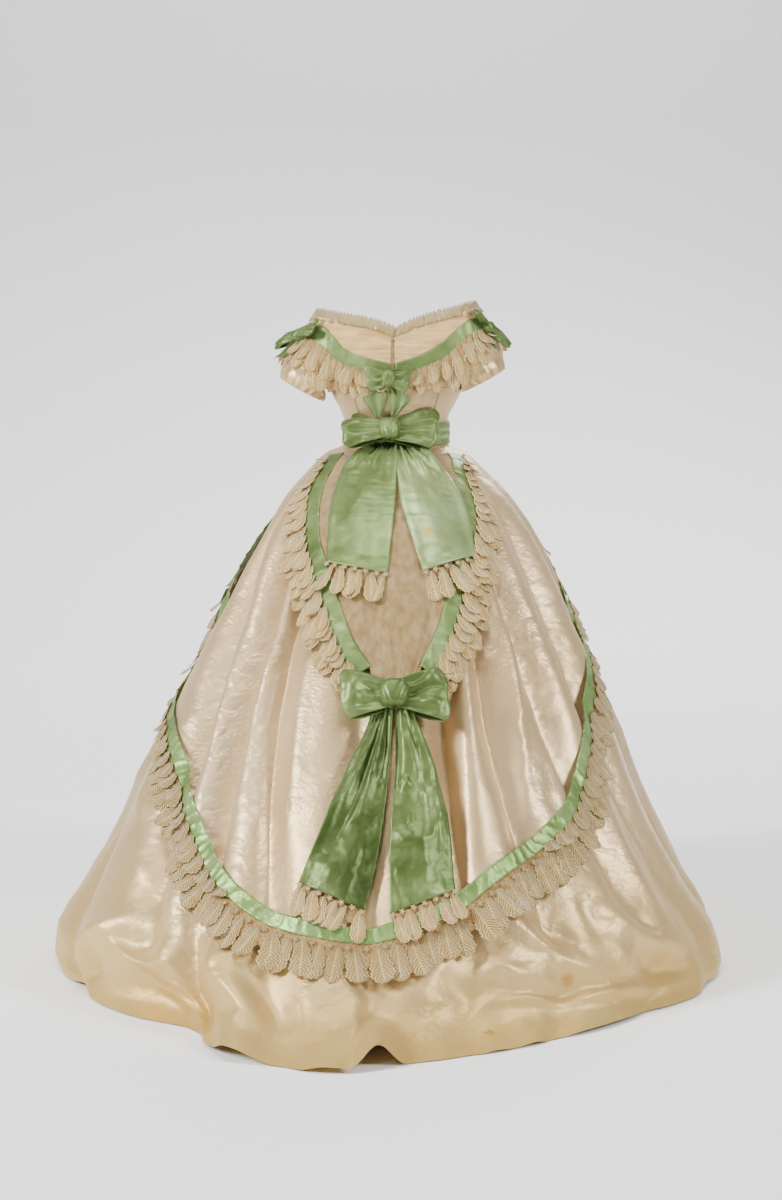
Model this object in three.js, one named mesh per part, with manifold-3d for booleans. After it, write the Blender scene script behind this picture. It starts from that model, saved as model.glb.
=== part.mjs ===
// A bride's evening gown of about 1865: a boned satin bodice with an off-the-shoulder neck,
// short puffed sleeves, and a seven-gored skirt with a train, trimmed with lace and ribbon.
// It stands in its worn form, hollow, with its neck, cuffs and hem open.
//
// Millimetres. The origin is the centre of the waist, +Z is up, +Y is the wearer's back,
// where the train runs, and +X is the wearer's left. An angle round the gown is measured
// from the centre back, towards +X.

import * as THREE from 'three';
import { mergeVertices } from 'three/addons/utils/BufferGeometryUtils.js';
import Module from 'manifold-3d';

const wasm = await Module();
wasm.setup();

// ---------- Driving sizes ----------

const FLOOR_DROP = 1060;        // waist to floor
const WALL = 1.6;               // satin of the bodice, sleeves and skirt
const TRIM_WALL = 1.2;          // ribbon, lace and gathered tulle
const SEAM_GAP = 0.35;          // between two pieces that are sewn together
const TRAIN_SWAY = 50;          // how far the train lies to the wearer's left at the hem
const PLEAT_FLANK = 3.2;        // degrees from a pleat's valley to the panel beside it
const PLEATS_OPEN = { from: 10, to: 330 };   // drops between which the pleats deepen
const PANEL_CROWN = 3;          // how far a panel swells between two valleys
const PANELS_SWELL = { from: 20, to: 120 };  // drops between which the panels' swell grows
const HEM_LIFT_DROP = 980;      // where the hem begins to arch off the floor at the valleys
const NECK_TILT = 0.05;         // the neck lies higher on the wearer's right shoulder

// How far above a panel's crown the trimmings lie: those on the bertha and the garland, and
// those over the round top of the skirt.
const LOW_LAYER = 0.6;
const HIGH_LAYER = 1.6;
const STITCH_GAP = 0.6;         // between a ribbon and the lace or tulle beside it

// The skirt over its crinoline, a row for each level. The widest line lies behind the waist,
// and back and front are measured from the waist's axis. The lean is towards +X.
const SKIRT_SECTIONS = [
  { drop: 8, halfWidth: 112, back: 93, front: 94, widest: 0, lean: 0 },
  { drop: 19, halfWidth: 112, back: 93, front: 94, widest: 0, lean: 0 },
  { drop: 34, halfWidth: 147, back: 150, front: 113, widest: 8, lean: 0 },
  { drop: 70, halfWidth: 187, back: 216, front: 135, widest: 18, lean: 0 },
  { drop: 130, halfWidth: 244, back: 295, front: 161, widest: 31, lean: 0 },
  { drop: 230, halfWidth: 310, back: 392, front: 199, widest: 48, lean: 0 },
  { drop: 390, halfWidth: 388, back: 510, front: 255, widest: 78, lean: 4 },
  { drop: 760, halfWidth: 553, back: 741, front: 373, widest: 152, lean: 20 },
  { drop: 890, halfWidth: 624, back: 828, front: 413, widest: 182, lean: 22 },
  { drop: 985, halfWidth: 676, back: 907, front: 441, widest: 206, lean: 22 },
  { drop: 1040, halfWidth: 682, back: 985, front: 455, widest: 220, lean: 20 },
  { drop: 1060, halfWidth: 672, back: 1065, front: 460, widest: 225, lean: 20 },
];

// The skirt's pleats, in order round the gown from the wearer's right front. Each valley has
// its angle at the waist, half way down and at the hem, its depth half way down and at the
// hem, and how far the hem arches off the floor there.
const VALLEYS = [
  { waist: -160, middle: -158, hem: -160, depth: 12, hemDepth: 16, arch: 3 },
  { waist: -128, middle: -128, hem: -133, depth: 17, hemDepth: 22, arch: 5 },
  { waist: -101, middle: -103, hem: -108, depth: 20, hemDepth: 20, arch: 5 },
  { waist: -80, middle: -82, hem: -88, depth: 22, hemDepth: 24, arch: 7 },
  { waist: -58, middle: -63, hem: -72, depth: 20, hemDepth: 14, arch: 4 },
  { waist: -37, middle: -44, hem: -56, depth: 18, hemDepth: 12, arch: 4 },
  { waist: -25, middle: -26, hem: -36, depth: 18, hemDepth: 22, arch: 6 },
  { waist: -13, middle: -15, hem: -19, depth: 26, hemDepth: 18, arch: 4 },
  { waist: 10, middle: 8, hem: 3, depth: 16, hemDepth: 34, arch: 14 },
  { waist: 41, middle: 34, hem: 15, depth: 20, hemDepth: 18, arch: 5 },
  { waist: 51, middle: 44, hem: 27, depth: 22, hemDepth: 26, arch: 9 },
  { waist: 64, middle: 59, hem: 50, depth: 28, hemDepth: 22, arch: 8 },
  { waist: 82, middle: 80, hem: 74, depth: 22, hemDepth: 24, arch: 6 },
  { waist: 101, middle: 101, hem: 98, depth: 20, hemDepth: 22, arch: 6 },
  { waist: 128, middle: 128, hem: 128, depth: 17, hemDepth: 22, arch: 5 },
  { waist: 160, middle: 157, hem: 158, depth: 12, hemDepth: 16, arch: 3 },
];
const VALLEY_LEVELS = { waist: 40, middle: 500, hem: FLOOR_DROP };

// The seven gores. A gore runs from the middle of its first panel to the middle of the next
// gore's, and panels are counted as their first valley is.
const GORES = [
  { name: 'skirt_side_front_right', firstPanel: 0 },
  { name: 'skirt_side_back_right', firstPanel: 3 },
  { name: 'skirt_back_right', firstPanel: 5 },
  { name: 'skirt_back_left', firstPanel: 7 },
  { name: 'skirt_side_back_left', firstPanel: 9 },
  { name: 'skirt_side_front_left', firstPanel: 11 },
  { name: 'skirt_front', firstPanel: 14 },
];

// The bodice, from under the belt to above the bust.
const BODICE_SECTIONS = [
  { height: -16, halfWidth: 108.5, back: 89.5, front: 90 },
  { height: 0, halfWidth: 108, back: 89, front: 90 },
  { height: 30, halfWidth: 109, back: 91, front: 98 },
  { height: 52, halfWidth: 117, back: 97, front: 110 },
  { height: 75, halfWidth: 130, back: 104, front: 124 },
  { height: 110, halfWidth: 141, back: 109, front: 137 },
  { height: 150, halfWidth: 147, back: 110, front: 140 },
  { height: 190, halfWidth: 152, back: 105, front: 128 },
  { height: 240, halfWidth: 156, back: 98, front: 112 },
];

// The bodice's upper edge: the back and front rise to the neck, and the armhole is cut between.
const BODICE_TOP = [
  { angle: 0, height: 224 },
  { angle: 14, height: 224 },
  { angle: 28, height: 226 },
  { angle: 41, height: 228 },
  { angle: 51, height: 220 },
  { angle: 57, height: 184 },
  { angle: 64, height: 142 },
  { angle: 74, height: 114 },
  { angle: 90, height: 104 },
  { angle: 106, height: 112 },
  { angle: 115, height: 138 },
  { angle: 122, height: 168 },
  { angle: 129, height: 188 },
  { angle: 146, height: 184 },
  { angle: 163, height: 178 },
  { angle: 180, height: 175 },
];
const BODICE_ROWS = 5;
const BODICE_PIECES = [
  { name: 'bodice_back_left', from: 0, to: 41 },
  { name: 'bodice_side_left', from: 41, to: 106 },
  { name: 'bodice_front', from: 106, to: 254 },
  { name: 'bodice_side_right', from: 254, to: 319 },
  { name: 'bodice_back_right', from: 319, to: 360 },
];

// The bertha lies over the bodice's top and the sleeves' outer sides.
const BERTHA_SECTIONS = [
  { height: 60, halfWidth: 243, back: 101, front: 117 },
  { height: 100, halfWidth: 243, back: 108, front: 134.5 },
  { height: 125, halfWidth: 241, back: 109.8, front: 139 },
  { height: 158, halfWidth: 236, back: 109.6, front: 138.4 },
  { height: 190, halfWidth: 228, back: 105.4, front: 128.6 },
  { height: 220, halfWidth: 216, back: 101.3, front: 119 },
  { height: 245, halfWidth: 203, back: 98, front: 112 },
  { height: 285, halfWidth: 176, back: 91.5, front: 100 },
];
const BERTHA_SQUARENESS = 2.8;

// Heights round the bertha: the neck edge, the ribbon's two edges, and the frill's lower
// edge on the wearer's left and right. The bertha's columns stand at these angles.
const BERTHA_LINES = [
  { angle: 0, neck: 230, ribbonTop: 153, ribbonFoot: 125, frillLeft: 100, frillRight: 96 },
  { angle: 12, neck: 234, ribbonTop: 166, ribbonFoot: 137, frillLeft: 90, frillRight: 84 },
  { angle: 24, neck: 239, ribbonTop: 186, ribbonFoot: 156, frillLeft: 87, frillRight: 84 },
  { angle: 36, neck: 246, ribbonTop: 218, ribbonFoot: 189, frillLeft: 94, frillRight: 96 },
  { angle: 48, neck: 253, ribbonTop: 236, ribbonFoot: 208, frillLeft: 120, frillRight: 132 },
  { angle: 60, neck: 256, ribbonTop: 238, ribbonFoot: 211, frillLeft: 146, frillRight: 166 },
  { angle: 72, neck: 256, ribbonTop: 237, ribbonFoot: 210, frillLeft: 150, frillRight: 170 },
  { angle: 84, neck: 255, ribbonTop: 235, ribbonFoot: 208, frillLeft: 152, frillRight: 170 },
  { angle: 96, neck: 254, ribbonTop: 231, ribbonFoot: 204, frillLeft: 151, frillRight: 167 },
  { angle: 108, neck: 251, ribbonTop: 227, ribbonFoot: 199, frillLeft: 147, frillRight: 158 },
  { angle: 120, neck: 247, ribbonTop: 220, ribbonFoot: 192, frillLeft: 139, frillRight: 144 },
  { angle: 132, neck: 238, ribbonTop: 206, ribbonFoot: 178, frillLeft: 120, frillRight: 121 },
  { angle: 144, neck: 223, ribbonTop: 182, ribbonFoot: 153, frillLeft: 94, frillRight: 94 },
  { angle: 156, neck: 205, ribbonTop: 158, ribbonFoot: 129, frillLeft: 76, frillRight: 76 },
  { angle: 168, neck: 192, ribbonTop: 141, ribbonFoot: 112, frillLeft: 68, frillRight: 68 },
  { angle: 180, neck: 186, ribbonTop: 133, ribbonFoot: 104, frillLeft: 66, frillRight: 66 },
];
const BERTHA_SPLIT = 84;        // the shoulder line, where back and front pieces meet
const BERTHA_COLUMN = 12;       // degrees between the bertha's columns
const SHOULDER_SEAM = 0.8;      // degrees between the back and front pieces
const BACK_SLIT = 1.0;          // half the opening at the centre back, in degrees
const EDGING_HEIGHT = 13;

// The frill's rows from its sewn edge, and its gathers: how far they swell and hollow, where
// the swell starts, and the angles from the centre back between which they grow.
const FRILL = {
  rows: [0, 0.4, 1],
  swell: 7,
  hollow: 0.2,
  swellFrom: 0.25,
  flatTo: 8,
  fullFrom: 30,
};

// A puffed sleeve, from the armhole to the cuff: the centre of each ring, and the half axes
// that point to the shoulder and to the back.
const SLEEVE_RINGS = [
  { x: 167, z: 172, outX: 33, outZ: 71, depth: 62, saddle: 49, puff: 1 },
  { x: 174, z: 156, outX: 34, outZ: 59, depth: 61, saddle: 36, puff: 1.12 },
  { x: 180, z: 138, outX: 37, outZ: 46, depth: 60, saddle: 24, puff: 1.19 },
  { x: 186, z: 120, outX: 40, outZ: 34, depth: 58, saddle: 12, puff: 1.13 },
  { x: 191, z: 103, outX: 42, outZ: 23, depth: 54, saddle: 0, puff: 1.02 },
];
const SLEEVE_COLUMNS = 14;
const SLEEVE_CORE_COLUMNS = 36;
const CORE_DEPTH = 20;          // how far the spaces used for trimming run past a piece's edge

// The belt round the waist.
const BELT = { foot: -18, top: 26, ease: 6.2, columns: 36 };

// ---------- Tables and numbers ----------

const radians = THREE.MathUtils.degToRad;
const lerp = THREE.MathUtils.lerp;
const ramp = THREE.MathUtils.smoothstep;

// Reads a named column of a table at a place between two of its rows.
function readTable(table, key, place, name) {
  const last = table.length - 1;
  const next = table.findIndex((row) => row[key] >= place);
  if (next === 0) return table[0][name];
  if (next === -1) return table[last][name];
  const before = table[next - 1];
  const after = table[next];
  return lerp(before[name], after[name], (place - before[key]) / (after[key] - before[key]));
}

function steps(from, to, count) {
  return Array.from({ length: count + 1 }, (_, i) => lerp(from, to, i / count));
}

// ---------- Walls of cloth ----------

const fromAxis = (point) => new THREE.Vector3(point.x, point.y, 0);

// A grid of points, in rows, with the normal at each point. The normals face the way that
// `facing` gives, or the way the grid winds.
function sheet(points, { closed = false, facing = null } = {}) {
  const rows = points.length;
  const columns = points[0].length;
  const normals = points.map((row) => row.map(() => new THREE.Vector3()));
  const down = new THREE.Vector3();
  const along = new THREE.Vector3();
  for (let r = 0; r < rows - 1; r += 1) {
    for (let c = 0; c < (closed ? columns : columns - 1); c += 1) {
      const d = (c + 1) % columns;
      down.subVectors(points[r + 1][d], points[r][c]);
      along.subVectors(points[r][d], points[r + 1][c]);
      const normal = new THREE.Vector3().crossVectors(down, along).normalize();
      for (const corner of [normals[r][c], normals[r][d], normals[r + 1][c], normals[r + 1][d]]) {
        corner.add(normal);
      }
    }
  }
  let agreement = 0;
  normals.forEach((row, r) => row.forEach((normal, c) => {
    normal.normalize();
    if (facing) agreement += normal.dot(facing(points[r][c]));
  }));
  if (agreement < 0) normals.forEach((row) => row.forEach((normal) => normal.negate()));
  return { points, normals, closed };
}

// The columns of a sheet from first to last, with its two side edges drawn in by half a seam.
function cutSheet({ points, normals, closed }, first, last) {
  const count = points[0].length;
  const picked = Array.from({ length: last - first + 1 }, (_, i) => (
    closed ? (first + i) % count : first + i
  ));
  const drawnIn = (row, edge, inner) => {
    const inward = row[inner].clone().sub(row[edge]).setLength(SEAM_GAP / 2);
    return row[edge].clone().add(inward);
  };
  const end = picked.length - 1;
  return {
    points: points.map((row) => picked.map((column, i) => {
      if (i === 0) return drawnIn(row, column, picked[1]);
      if (i === end) return drawnIn(row, column, picked[end - 1]);
      return row[column];
    })),
    normals: normals.map((row) => picked.map((column) => row[column])),
    closed: false,
  };
}

// The solid wall between two distances from a sheet, measured along its normals.
function wall({ points, normals, closed }, near, far) {
  const rows = points.length;
  const columns = points[0].length;
  const positions = [];
  for (const distance of [far, near]) {
    for (let r = 0; r < rows; r += 1) {
      for (let c = 0; c < columns; c += 1) {
        const point = points[r][c].clone().addScaledVector(normals[r][c], distance);
        positions.push(point.x, point.y, point.z);
      }
    }
  }
  const at = (layer, r, c) => (layer * rows + r) * columns + (c % columns);
  const faces = [];
  const quad = (a, b, c, d) => faces.push(a, b, c, a, c, d);
  const lastColumn = closed ? columns : columns - 1;
  for (let c = 0; c < lastColumn; c += 1) {
    for (let r = 0; r < rows - 1; r += 1) {
      quad(at(0, r, c), at(0, r + 1, c), at(0, r + 1, c + 1), at(0, r, c + 1));
      quad(at(1, r, c), at(1, r, c + 1), at(1, r + 1, c + 1), at(1, r + 1, c));
    }
    quad(at(0, 0, c), at(0, 0, c + 1), at(1, 0, c + 1), at(1, 0, c));
    quad(at(0, rows - 1, c + 1), at(0, rows - 1, c), at(1, rows - 1, c), at(1, rows - 1, c + 1));
  }
  for (let r = 0; r < rows - 1 && !closed; r += 1) {
    quad(at(0, r + 1, 0), at(0, r, 0), at(1, r, 0), at(1, r + 1, 0));
    quad(at(0, r, lastColumn), at(0, r + 1, lastColumn), at(1, r + 1, lastColumn), at(1, r, lastColumn));
  }
  return facingOut(positions, faces);
}

// The geometry of a closed set of faces, turned inside out if its volume is negative.
function facingOut(positions, faces) {
  const corner = (i) => new THREE.Vector3().fromArray(positions, 3 * i);
  let volume = 0;
  for (let i = 0; i < faces.length; i += 3) {
    volume += corner(faces[i]).dot(corner(faces[i + 1]).cross(corner(faces[i + 2])));
  }
  const geometry = new THREE.BufferGeometry();
  geometry.setAttribute('position', new THREE.Float32BufferAttribute(positions, 3));
  geometry.setIndex(volume < 0 ? faces.reverse() : faces);
  return geometry;
}

// ---------- Cutting one solid by another ----------

function toSolid(geometry) {
  return new wasm.Manifold(new wasm.Mesh({
    numProp: 3,
    vertProperties: new Float32Array(geometry.attributes.position.array),
    triVerts: new Uint32Array(geometry.index.array),
  }));
}

// The largest body of a solid, as a geometry. The offcuts of a boolean are left out.
function toGeometry(solid) {
  const bodies = solid.decompose();
  const largest = bodies.reduce((best, body) => (body.volume() > best.volume() ? body : best));
  const mesh = largest.getMesh();
  const geometry = new THREE.BufferGeometry();
  geometry.setAttribute('position', new THREE.BufferAttribute(mesh.vertProperties, 3));
  geometry.setIndex(new THREE.BufferAttribute(mesh.triVerts, 1));
  return mergeVertices(geometry);
}

function trimmed(geometry, ...neighbours) {
  const solid = neighbours.reduce((rest, other) => rest.subtract(other), toSolid(geometry));
  return toGeometry(solid);
}

// ---------- The skirt's surface ----------

// A point of the smooth skirt, moved out from it.
function skirtPoint(angle, drop, out = 0) {
  const at = (name) => readTable(SKIRT_SECTIONS, 'drop', drop, name);
  const cosine = Math.cos(radians(angle));
  const behind = at('back') - at('widest') + out;
  const before = at('front') + at('widest') + out;
  const sway = TRAIN_SWAY * (drop / FLOOR_DROP) ** 3 * Math.max(0, cosine) ** 2;
  return new THREE.Vector3(
    (at('halfWidth') + out) * Math.sin(radians(angle)) + sway + at('lean'),
    at('widest') + (cosine > 0 ? behind : before) * cosine,
    -drop,
  );
}

// The smooth skirt's directions round it and down it, over a step of degrees and of drop to
// each side of a place.
function skirtSteps(angle, drop, degrees, millimetres) {
  const across = skirtPoint(angle + degrees, drop).sub(skirtPoint(angle - degrees, drop));
  const down = skirtPoint(angle, drop + millimetres).sub(skirtPoint(angle, drop - millimetres));
  return { across, down };
}

// A point above the smooth skirt, along its normal.
const NORMAL_STEP = { degrees: 1, millimetres: 4 };
function aboveSkirt(angle, drop, distance) {
  const { across, down } = skirtSteps(angle, drop, NORMAL_STEP.degrees, NORMAL_STEP.millimetres);
  return skirtPoint(angle, drop).addScaledVector(across.cross(down).normalize(), distance);
}

function valleyAngle(valley, drop) {
  if (drop < VALLEY_LEVELS.middle) {
    const share = (drop - VALLEY_LEVELS.waist) / (VALLEY_LEVELS.middle - VALLEY_LEVELS.waist);
    return lerp(valley.waist, valley.middle, Math.max(0, share));
  }
  const share = (drop - VALLEY_LEVELS.middle) / (VALLEY_LEVELS.hem - VALLEY_LEVELS.middle);
  return lerp(valley.middle, valley.hem, share);
}

function valleyDepth(valley, drop) {
  const open = ramp(drop, PLEATS_OPEN.from, PLEATS_OPEN.to);
  const low = ramp(drop, VALLEY_LEVELS.middle, VALLEY_LEVELS.hem);
  return open * lerp(valley.depth, valley.hemDepth, low);
}

// The skirt's columns: each valley, the flanks beside it, and the middle of its panel.
const PLEAT_COLUMNS = VALLEYS.flatMap((valley, panel) => [
  { panel, valley: true, share: 0 },
  { panel, flank: PLEAT_FLANK },
  { panel, seam: true, share: 0.5 },
  { panel, flank: -PLEAT_FLANK },
]);

function pleatedPoint(column, drop) {
  const valley = VALLEYS[column.panel];
  const next = VALLEYS[(column.panel + 1) % VALLEYS.length];
  const from = valleyAngle(valley, drop);
  const width = (valleyAngle(next, drop) - from + 360) % 360;
  let share = column.share;
  if (column.flank) share = column.flank > 0 ? column.flank / width : 1 + column.flank / width;
  const swell = ramp(drop, PANELS_SWELL.from, PANELS_SWELL.to);
  const crown = PANEL_CROWN * swell * Math.sin(Math.PI * share);
  const out = column.valley ? -valleyDepth(valley, drop) : crown;
  const point = skirtPoint(from + share * width, drop, out);
  if (column.valley) point.z += valley.arch * ramp(drop, HEM_LIFT_DROP, FLOOR_DROP);
  return point;
}

const skirtSheet = sheet(
  SKIRT_SECTIONS.map(({ drop }) => PLEAT_COLUMNS.map((column) => pleatedPoint(column, drop))),
  { closed: true, facing: fromAxis },
);

function gore(index) {
  const seamOf = (panel) => PLEAT_COLUMNS.findIndex((c) => c.panel === panel && c.seam);
  const first = seamOf(GORES[index].firstPanel);
  const last = seamOf(GORES[(index + 1) % GORES.length].firstPanel);
  const count = PLEAT_COLUMNS.length;
  return wall(cutSheet(skirtSheet, first, last > first ? last : last + count), -WALL, 0);
}

// The whole space inside the skirt, a little larger all round, for what lies on it.
function skirtCore(clearance) {
  const { points, normals } = skirtSheet;
  return closedForm(points.map((row, r) => row.map((point, c) => (
    point.clone().addScaledVector(normals[r][c], clearance)
  ))));
}
const skirtBody = toSolid(skirtCore(SEAM_GAP));

// A flat trimming lies across the skirt's panels, and bridges the valleys between them.
function onSkirt(points, layer, ...neighbours) {
  const near = PANEL_CROWN + layer;
  const strip = wall(sheet(points, { facing: fromAxis }), near, near + TRIM_WALL);
  return trimmed(strip, skirtBody, ...neighbours);
}

// The same trimming, larger all round, for what lies next to it.
function clearanceOf(points, layer, gap = SEAM_GAP) {
  const near = PANEL_CROWN + layer;
  return toSolid(wall(sheet(points, { facing: fromAxis }), near - gap, near + TRIM_WALL + gap));
}

// A smooth run down the skirt through the rows of a route. Each place has the change of
// angle and drop that moves a point one millimetre to the side of the route.
const RUN_STEP = { degrees: 0.5, millimetres: 3 };
function skirtRun(route, count) {
  const curve = new THREE.CatmullRomCurve3(
    route.map(({ angle, drop }) => new THREE.Vector3(angle, drop, 0)),
    false,
    'centripetal',
  );
  return steps(0, 1, count).map((share) => {
    const place = curve.getPoint(share);
    const heading = curve.getTangent(share);
    const step = skirtSteps(place.x, place.y, RUN_STEP.degrees, RUN_STEP.millimetres);
    const perDegree = step.across.divideScalar(2 * RUN_STEP.degrees);
    const perDrop = step.down.divideScalar(2 * RUN_STEP.millimetres);
    const ahead = perDegree.clone().multiplyScalar(heading.x).addScaledVector(perDrop, heading.y);
    const side = ahead.cross(perDegree.clone().cross(perDrop)).normalize();
    const skew = perDegree.dot(perDrop);
    const scale = perDegree.lengthSq() * perDrop.lengthSq() - skew * skew;
    const alongDegree = side.dot(perDegree);
    const alongDrop = side.dot(perDrop);
    return {
      angle: place.x,
      drop: place.y,
      sideAngle: (alongDegree * perDrop.lengthSq() - alongDrop * skew) / scale,
      sideDrop: (alongDrop * perDegree.lengthSq() - alongDegree * skew) / scale,
    };
  });
}

function placeBeside({ angle, drop, sideAngle, sideDrop }, distance) {
  return { angle: angle + sideAngle * distance, drop: drop + sideDrop * distance };
}

function beside(place, distance) {
  const { angle, drop } = placeBeside(place, distance);
  return skirtPoint(angle, drop);
}

function ribbonStrip(run, width) {
  return [-width / 2, width / 2].map((away) => run.map((place) => beside(place, away)));
}

// Every second place of a run of lace leaves is a notch, and the ribbon beside the lace has
// its corners there, so that the two edges run side by side.
const LEAF_POINTS = 2;
const LEAF_NOTCH = 0.72;
const atNotches = (run) => run.filter((place, i) => i % LEAF_POINTS === 0);

// A strip of lace leaves along a run, from a straight inner edge at `start` to pointed tips.
function laceStrip(run, { start, reaches, side = 1 }) {
  const edge = atNotches(run).map((place) => beside(place, side * start));
  const inner = run.map((place, i) => {
    const notch = Math.min(Math.floor(i / LEAF_POINTS), edge.length - 2);
    return edge[notch].clone().lerp(edge[notch + 1], i / LEAF_POINTS - notch);
  });
  const outer = run.map((place, i) => {
    const reach = readTable(reaches, 'share', i / (run.length - 1), 'reach');
    return beside(place, side * reach * (i % LEAF_POINTS === 0 ? LEAF_NOTCH : 1));
  });
  return [inner, outer];
}

// ---------- The bodice, bertha and sleeves ----------

function bodicePoint(angle, height, out = 0) {
  const at = (name) => readTable(BODICE_SECTIONS, 'height', height, name);
  const cosine = Math.cos(radians(angle));
  const depth = cosine > 0 ? at('back') : at('front');
  return new THREE.Vector3(
    (at('halfWidth') + out) * Math.sin(radians(angle)),
    (depth + out) * cosine,
    height,
  );
}

// The bodice's columns run round from the centre back, each from under the belt to its top.
const BODICE_COLUMNS = [
  ...BODICE_TOP,
  ...BODICE_TOP.slice(1, -1).reverse().map(({ angle, height }) => ({ angle: 360 - angle, height })),
];
const bodiceSheet = sheet(
  steps(0, 1, BODICE_ROWS).map((share) => BODICE_COLUMNS.map(({ angle, height }) => (
    bodicePoint(angle, lerp(BODICE_SECTIONS[0].height, height, share))
  ))),
  { closed: true, facing: fromAxis },
);

function bodicePiece(from, to) {
  const columnAt = (angle) => BODICE_COLUMNS.findIndex((column) => column.angle === angle % 360);
  const first = columnAt(from);
  const last = to === 360 ? BODICE_COLUMNS.length : columnAt(to);
  return wall(cutSheet(bodiceSheet, first, last), -WALL, 0);
}

// The whole space inside the bodice, a little larger all round, for what is sewn to it.
function bodiceCore(clearance, columns) {
  const angles = steps(0, 360, columns).slice(0, -1);
  const rings = BODICE_SECTIONS.map(({ height }) => (
    angles.map((angle) => bodicePoint(angle, height, clearance))
  ));
  const below = rings[0].map((point) => point.clone().setZ(point.z - CORE_DEPTH));
  return toSolid(closedForm([below, ...rings]));
}

// A solid from rings of points, closed at both ends by flat fans.
function closedForm(rings) {
  const count = rings[0].length;
  const positions = rings.flat().flatMap((point) => point.toArray());
  const faces = [];
  for (let r = 0; r < rings.length - 1; r += 1) {
    for (let c = 0; c < count; c += 1) {
      const d = (c + 1) % count;
      faces.push(r * count + c, r * count + d, (r + 1) * count + d);
      faces.push(r * count + c, (r + 1) * count + d, (r + 1) * count + c);
    }
  }
  for (const end of [0, rings.length - 1]) {
    const middle = rings[end].reduce((sum, p) => sum.add(p), new THREE.Vector3());
    positions.push(...middle.divideScalar(count).toArray());
    const hub = positions.length / 3 - 1;
    for (let c = 0; c < count; c += 1) {
      const rim = [end * count + c, end * count + ((c + 1) % count)];
      faces.push(hub, ...(end === 0 ? rim.reverse() : rim));
    }
  }
  return facingOut(positions, faces);
}

function berthaPoint(angle, height, out = 0) {
  const at = (name) => readTable(BERTHA_SECTIONS, 'height', height, name);
  const sine = Math.sin(radians(angle));
  const cosine = Math.cos(radians(angle));
  const power = BERTHA_SQUARENESS;
  const reach = (Math.abs(sine) ** power + Math.abs(cosine) ** power) ** (-1 / power);
  const x = (at('halfWidth') + out) * sine * reach;
  const y = ((cosine > 0 ? at('back') : at('front')) + out) * cosine * reach;
  return new THREE.Vector3(x, y, height - NECK_TILT * x);
}

// An angle's distance from the centre back, for an angle up to a whole turn.
const fromBack = (angle) => (angle > 180 ? 360 - angle : Math.abs(angle));
const berthaLine = (angle, name) => readTable(BERTHA_LINES, 'angle', fromBack(angle), name);

// The angles of the bertha's columns over a stretch, with extra ones between where wanted. A
// column nearer to the stretch's end than this share of a column is left out.
const COLUMN_SPARE = 0.01;
function berthaAngles({ from, to }, perColumn) {
  const first = Math.ceil(from / BERTHA_COLUMN + COLUMN_SPARE);
  const last = Math.floor(to / BERTHA_COLUMN - COLUMN_SPARE);
  const inner = steps(first, last, last - first).map((column) => column * BERTHA_COLUMN);
  const whole = [from, ...inner, to];
  return whole.flatMap((angle, i) => (
    i === 0 ? [angle] : steps(whole[i - 1], angle, perColumn).slice(1)
  ));
}

// A band of the bertha between two lines of its table, over a stretch of the gown.
function berthaBand(stretch, rows, footOf, topOf) {
  const angles = berthaAngles(stretch, 1);
  const points = steps(0, 1, rows).map((share) => (
    angles.map((angle) => berthaPoint(angle, lerp(footOf(angle), topOf(angle), share)))
  ));
  return wall(sheet(points, { facing: fromAxis }), LOW_LAYER, LOW_LAYER + TRIM_WALL);
}

// The lace frill under the ribbon swells into gathers below its sewn edge, except where the
// bow lies on it.
function berthaFrill(stretch) {
  const angles = berthaAngles(stretch, 2);
  const onLeft = (angle) => angle > 0 && angle <= 180;
  const top = (angle) => berthaLine(angle, 'ribbonFoot') - STITCH_GAP;
  const foot = (angle) => berthaLine(angle, onLeft(angle) ? 'frillLeft' : 'frillRight');
  const points = FRILL.rows.map((share) => angles.map((angle, i) => {
    const height = lerp(top(angle), foot(angle), share);
    const clear = ramp(fromBack(angle), FRILL.flatTo, FRILL.fullFrom);
    const gather = i % 2 === 0 ? FRILL.hollow : 1;
    return berthaPoint(angle, height, FRILL.swell * ramp(share, FRILL.swellFrom, 1) * clear * gather);
  }));
  return wall(sheet(points, { facing: fromAxis }), LOW_LAYER, LOW_LAYER + TRIM_WALL);
}

function sleeveRings(side) {
  return SLEEVE_RINGS.map((ring) => steps(0, 360, SLEEVE_COLUMNS).slice(0, -1).map((angle) => {
    const cosine = Math.cos(radians(angle));
    const sine = Math.sin(radians(angle));
    return new THREE.Vector3(
      side * (ring.x + ring.outX * cosine * ring.puff - ring.saddle * sine ** 2),
      ring.depth * sine * ring.puff,
      ring.z + ring.outZ * cosine * ring.puff - NECK_TILT * side * ring.x,
    );
  }));
}

// ---------- Bows ----------

// A place to sew a bow: where it is, and the directions across, up and out of the cloth.
function placeOn(origin, out, upHint = new THREE.Vector3(0, 0, 1)) {
  const across = new THREE.Vector3().crossVectors(out, upHint).normalize();
  const up = new THREE.Vector3().crossVectors(across, out).normalize();
  return { origin, across, up, out: out.clone().normalize() };
}

function inPlace({ origin, across, up, out }, x, y, z) {
  return origin.clone()
    .addScaledVector(across, x)
    .addScaledVector(up, y)
    .addScaledVector(out, z);
}

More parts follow.
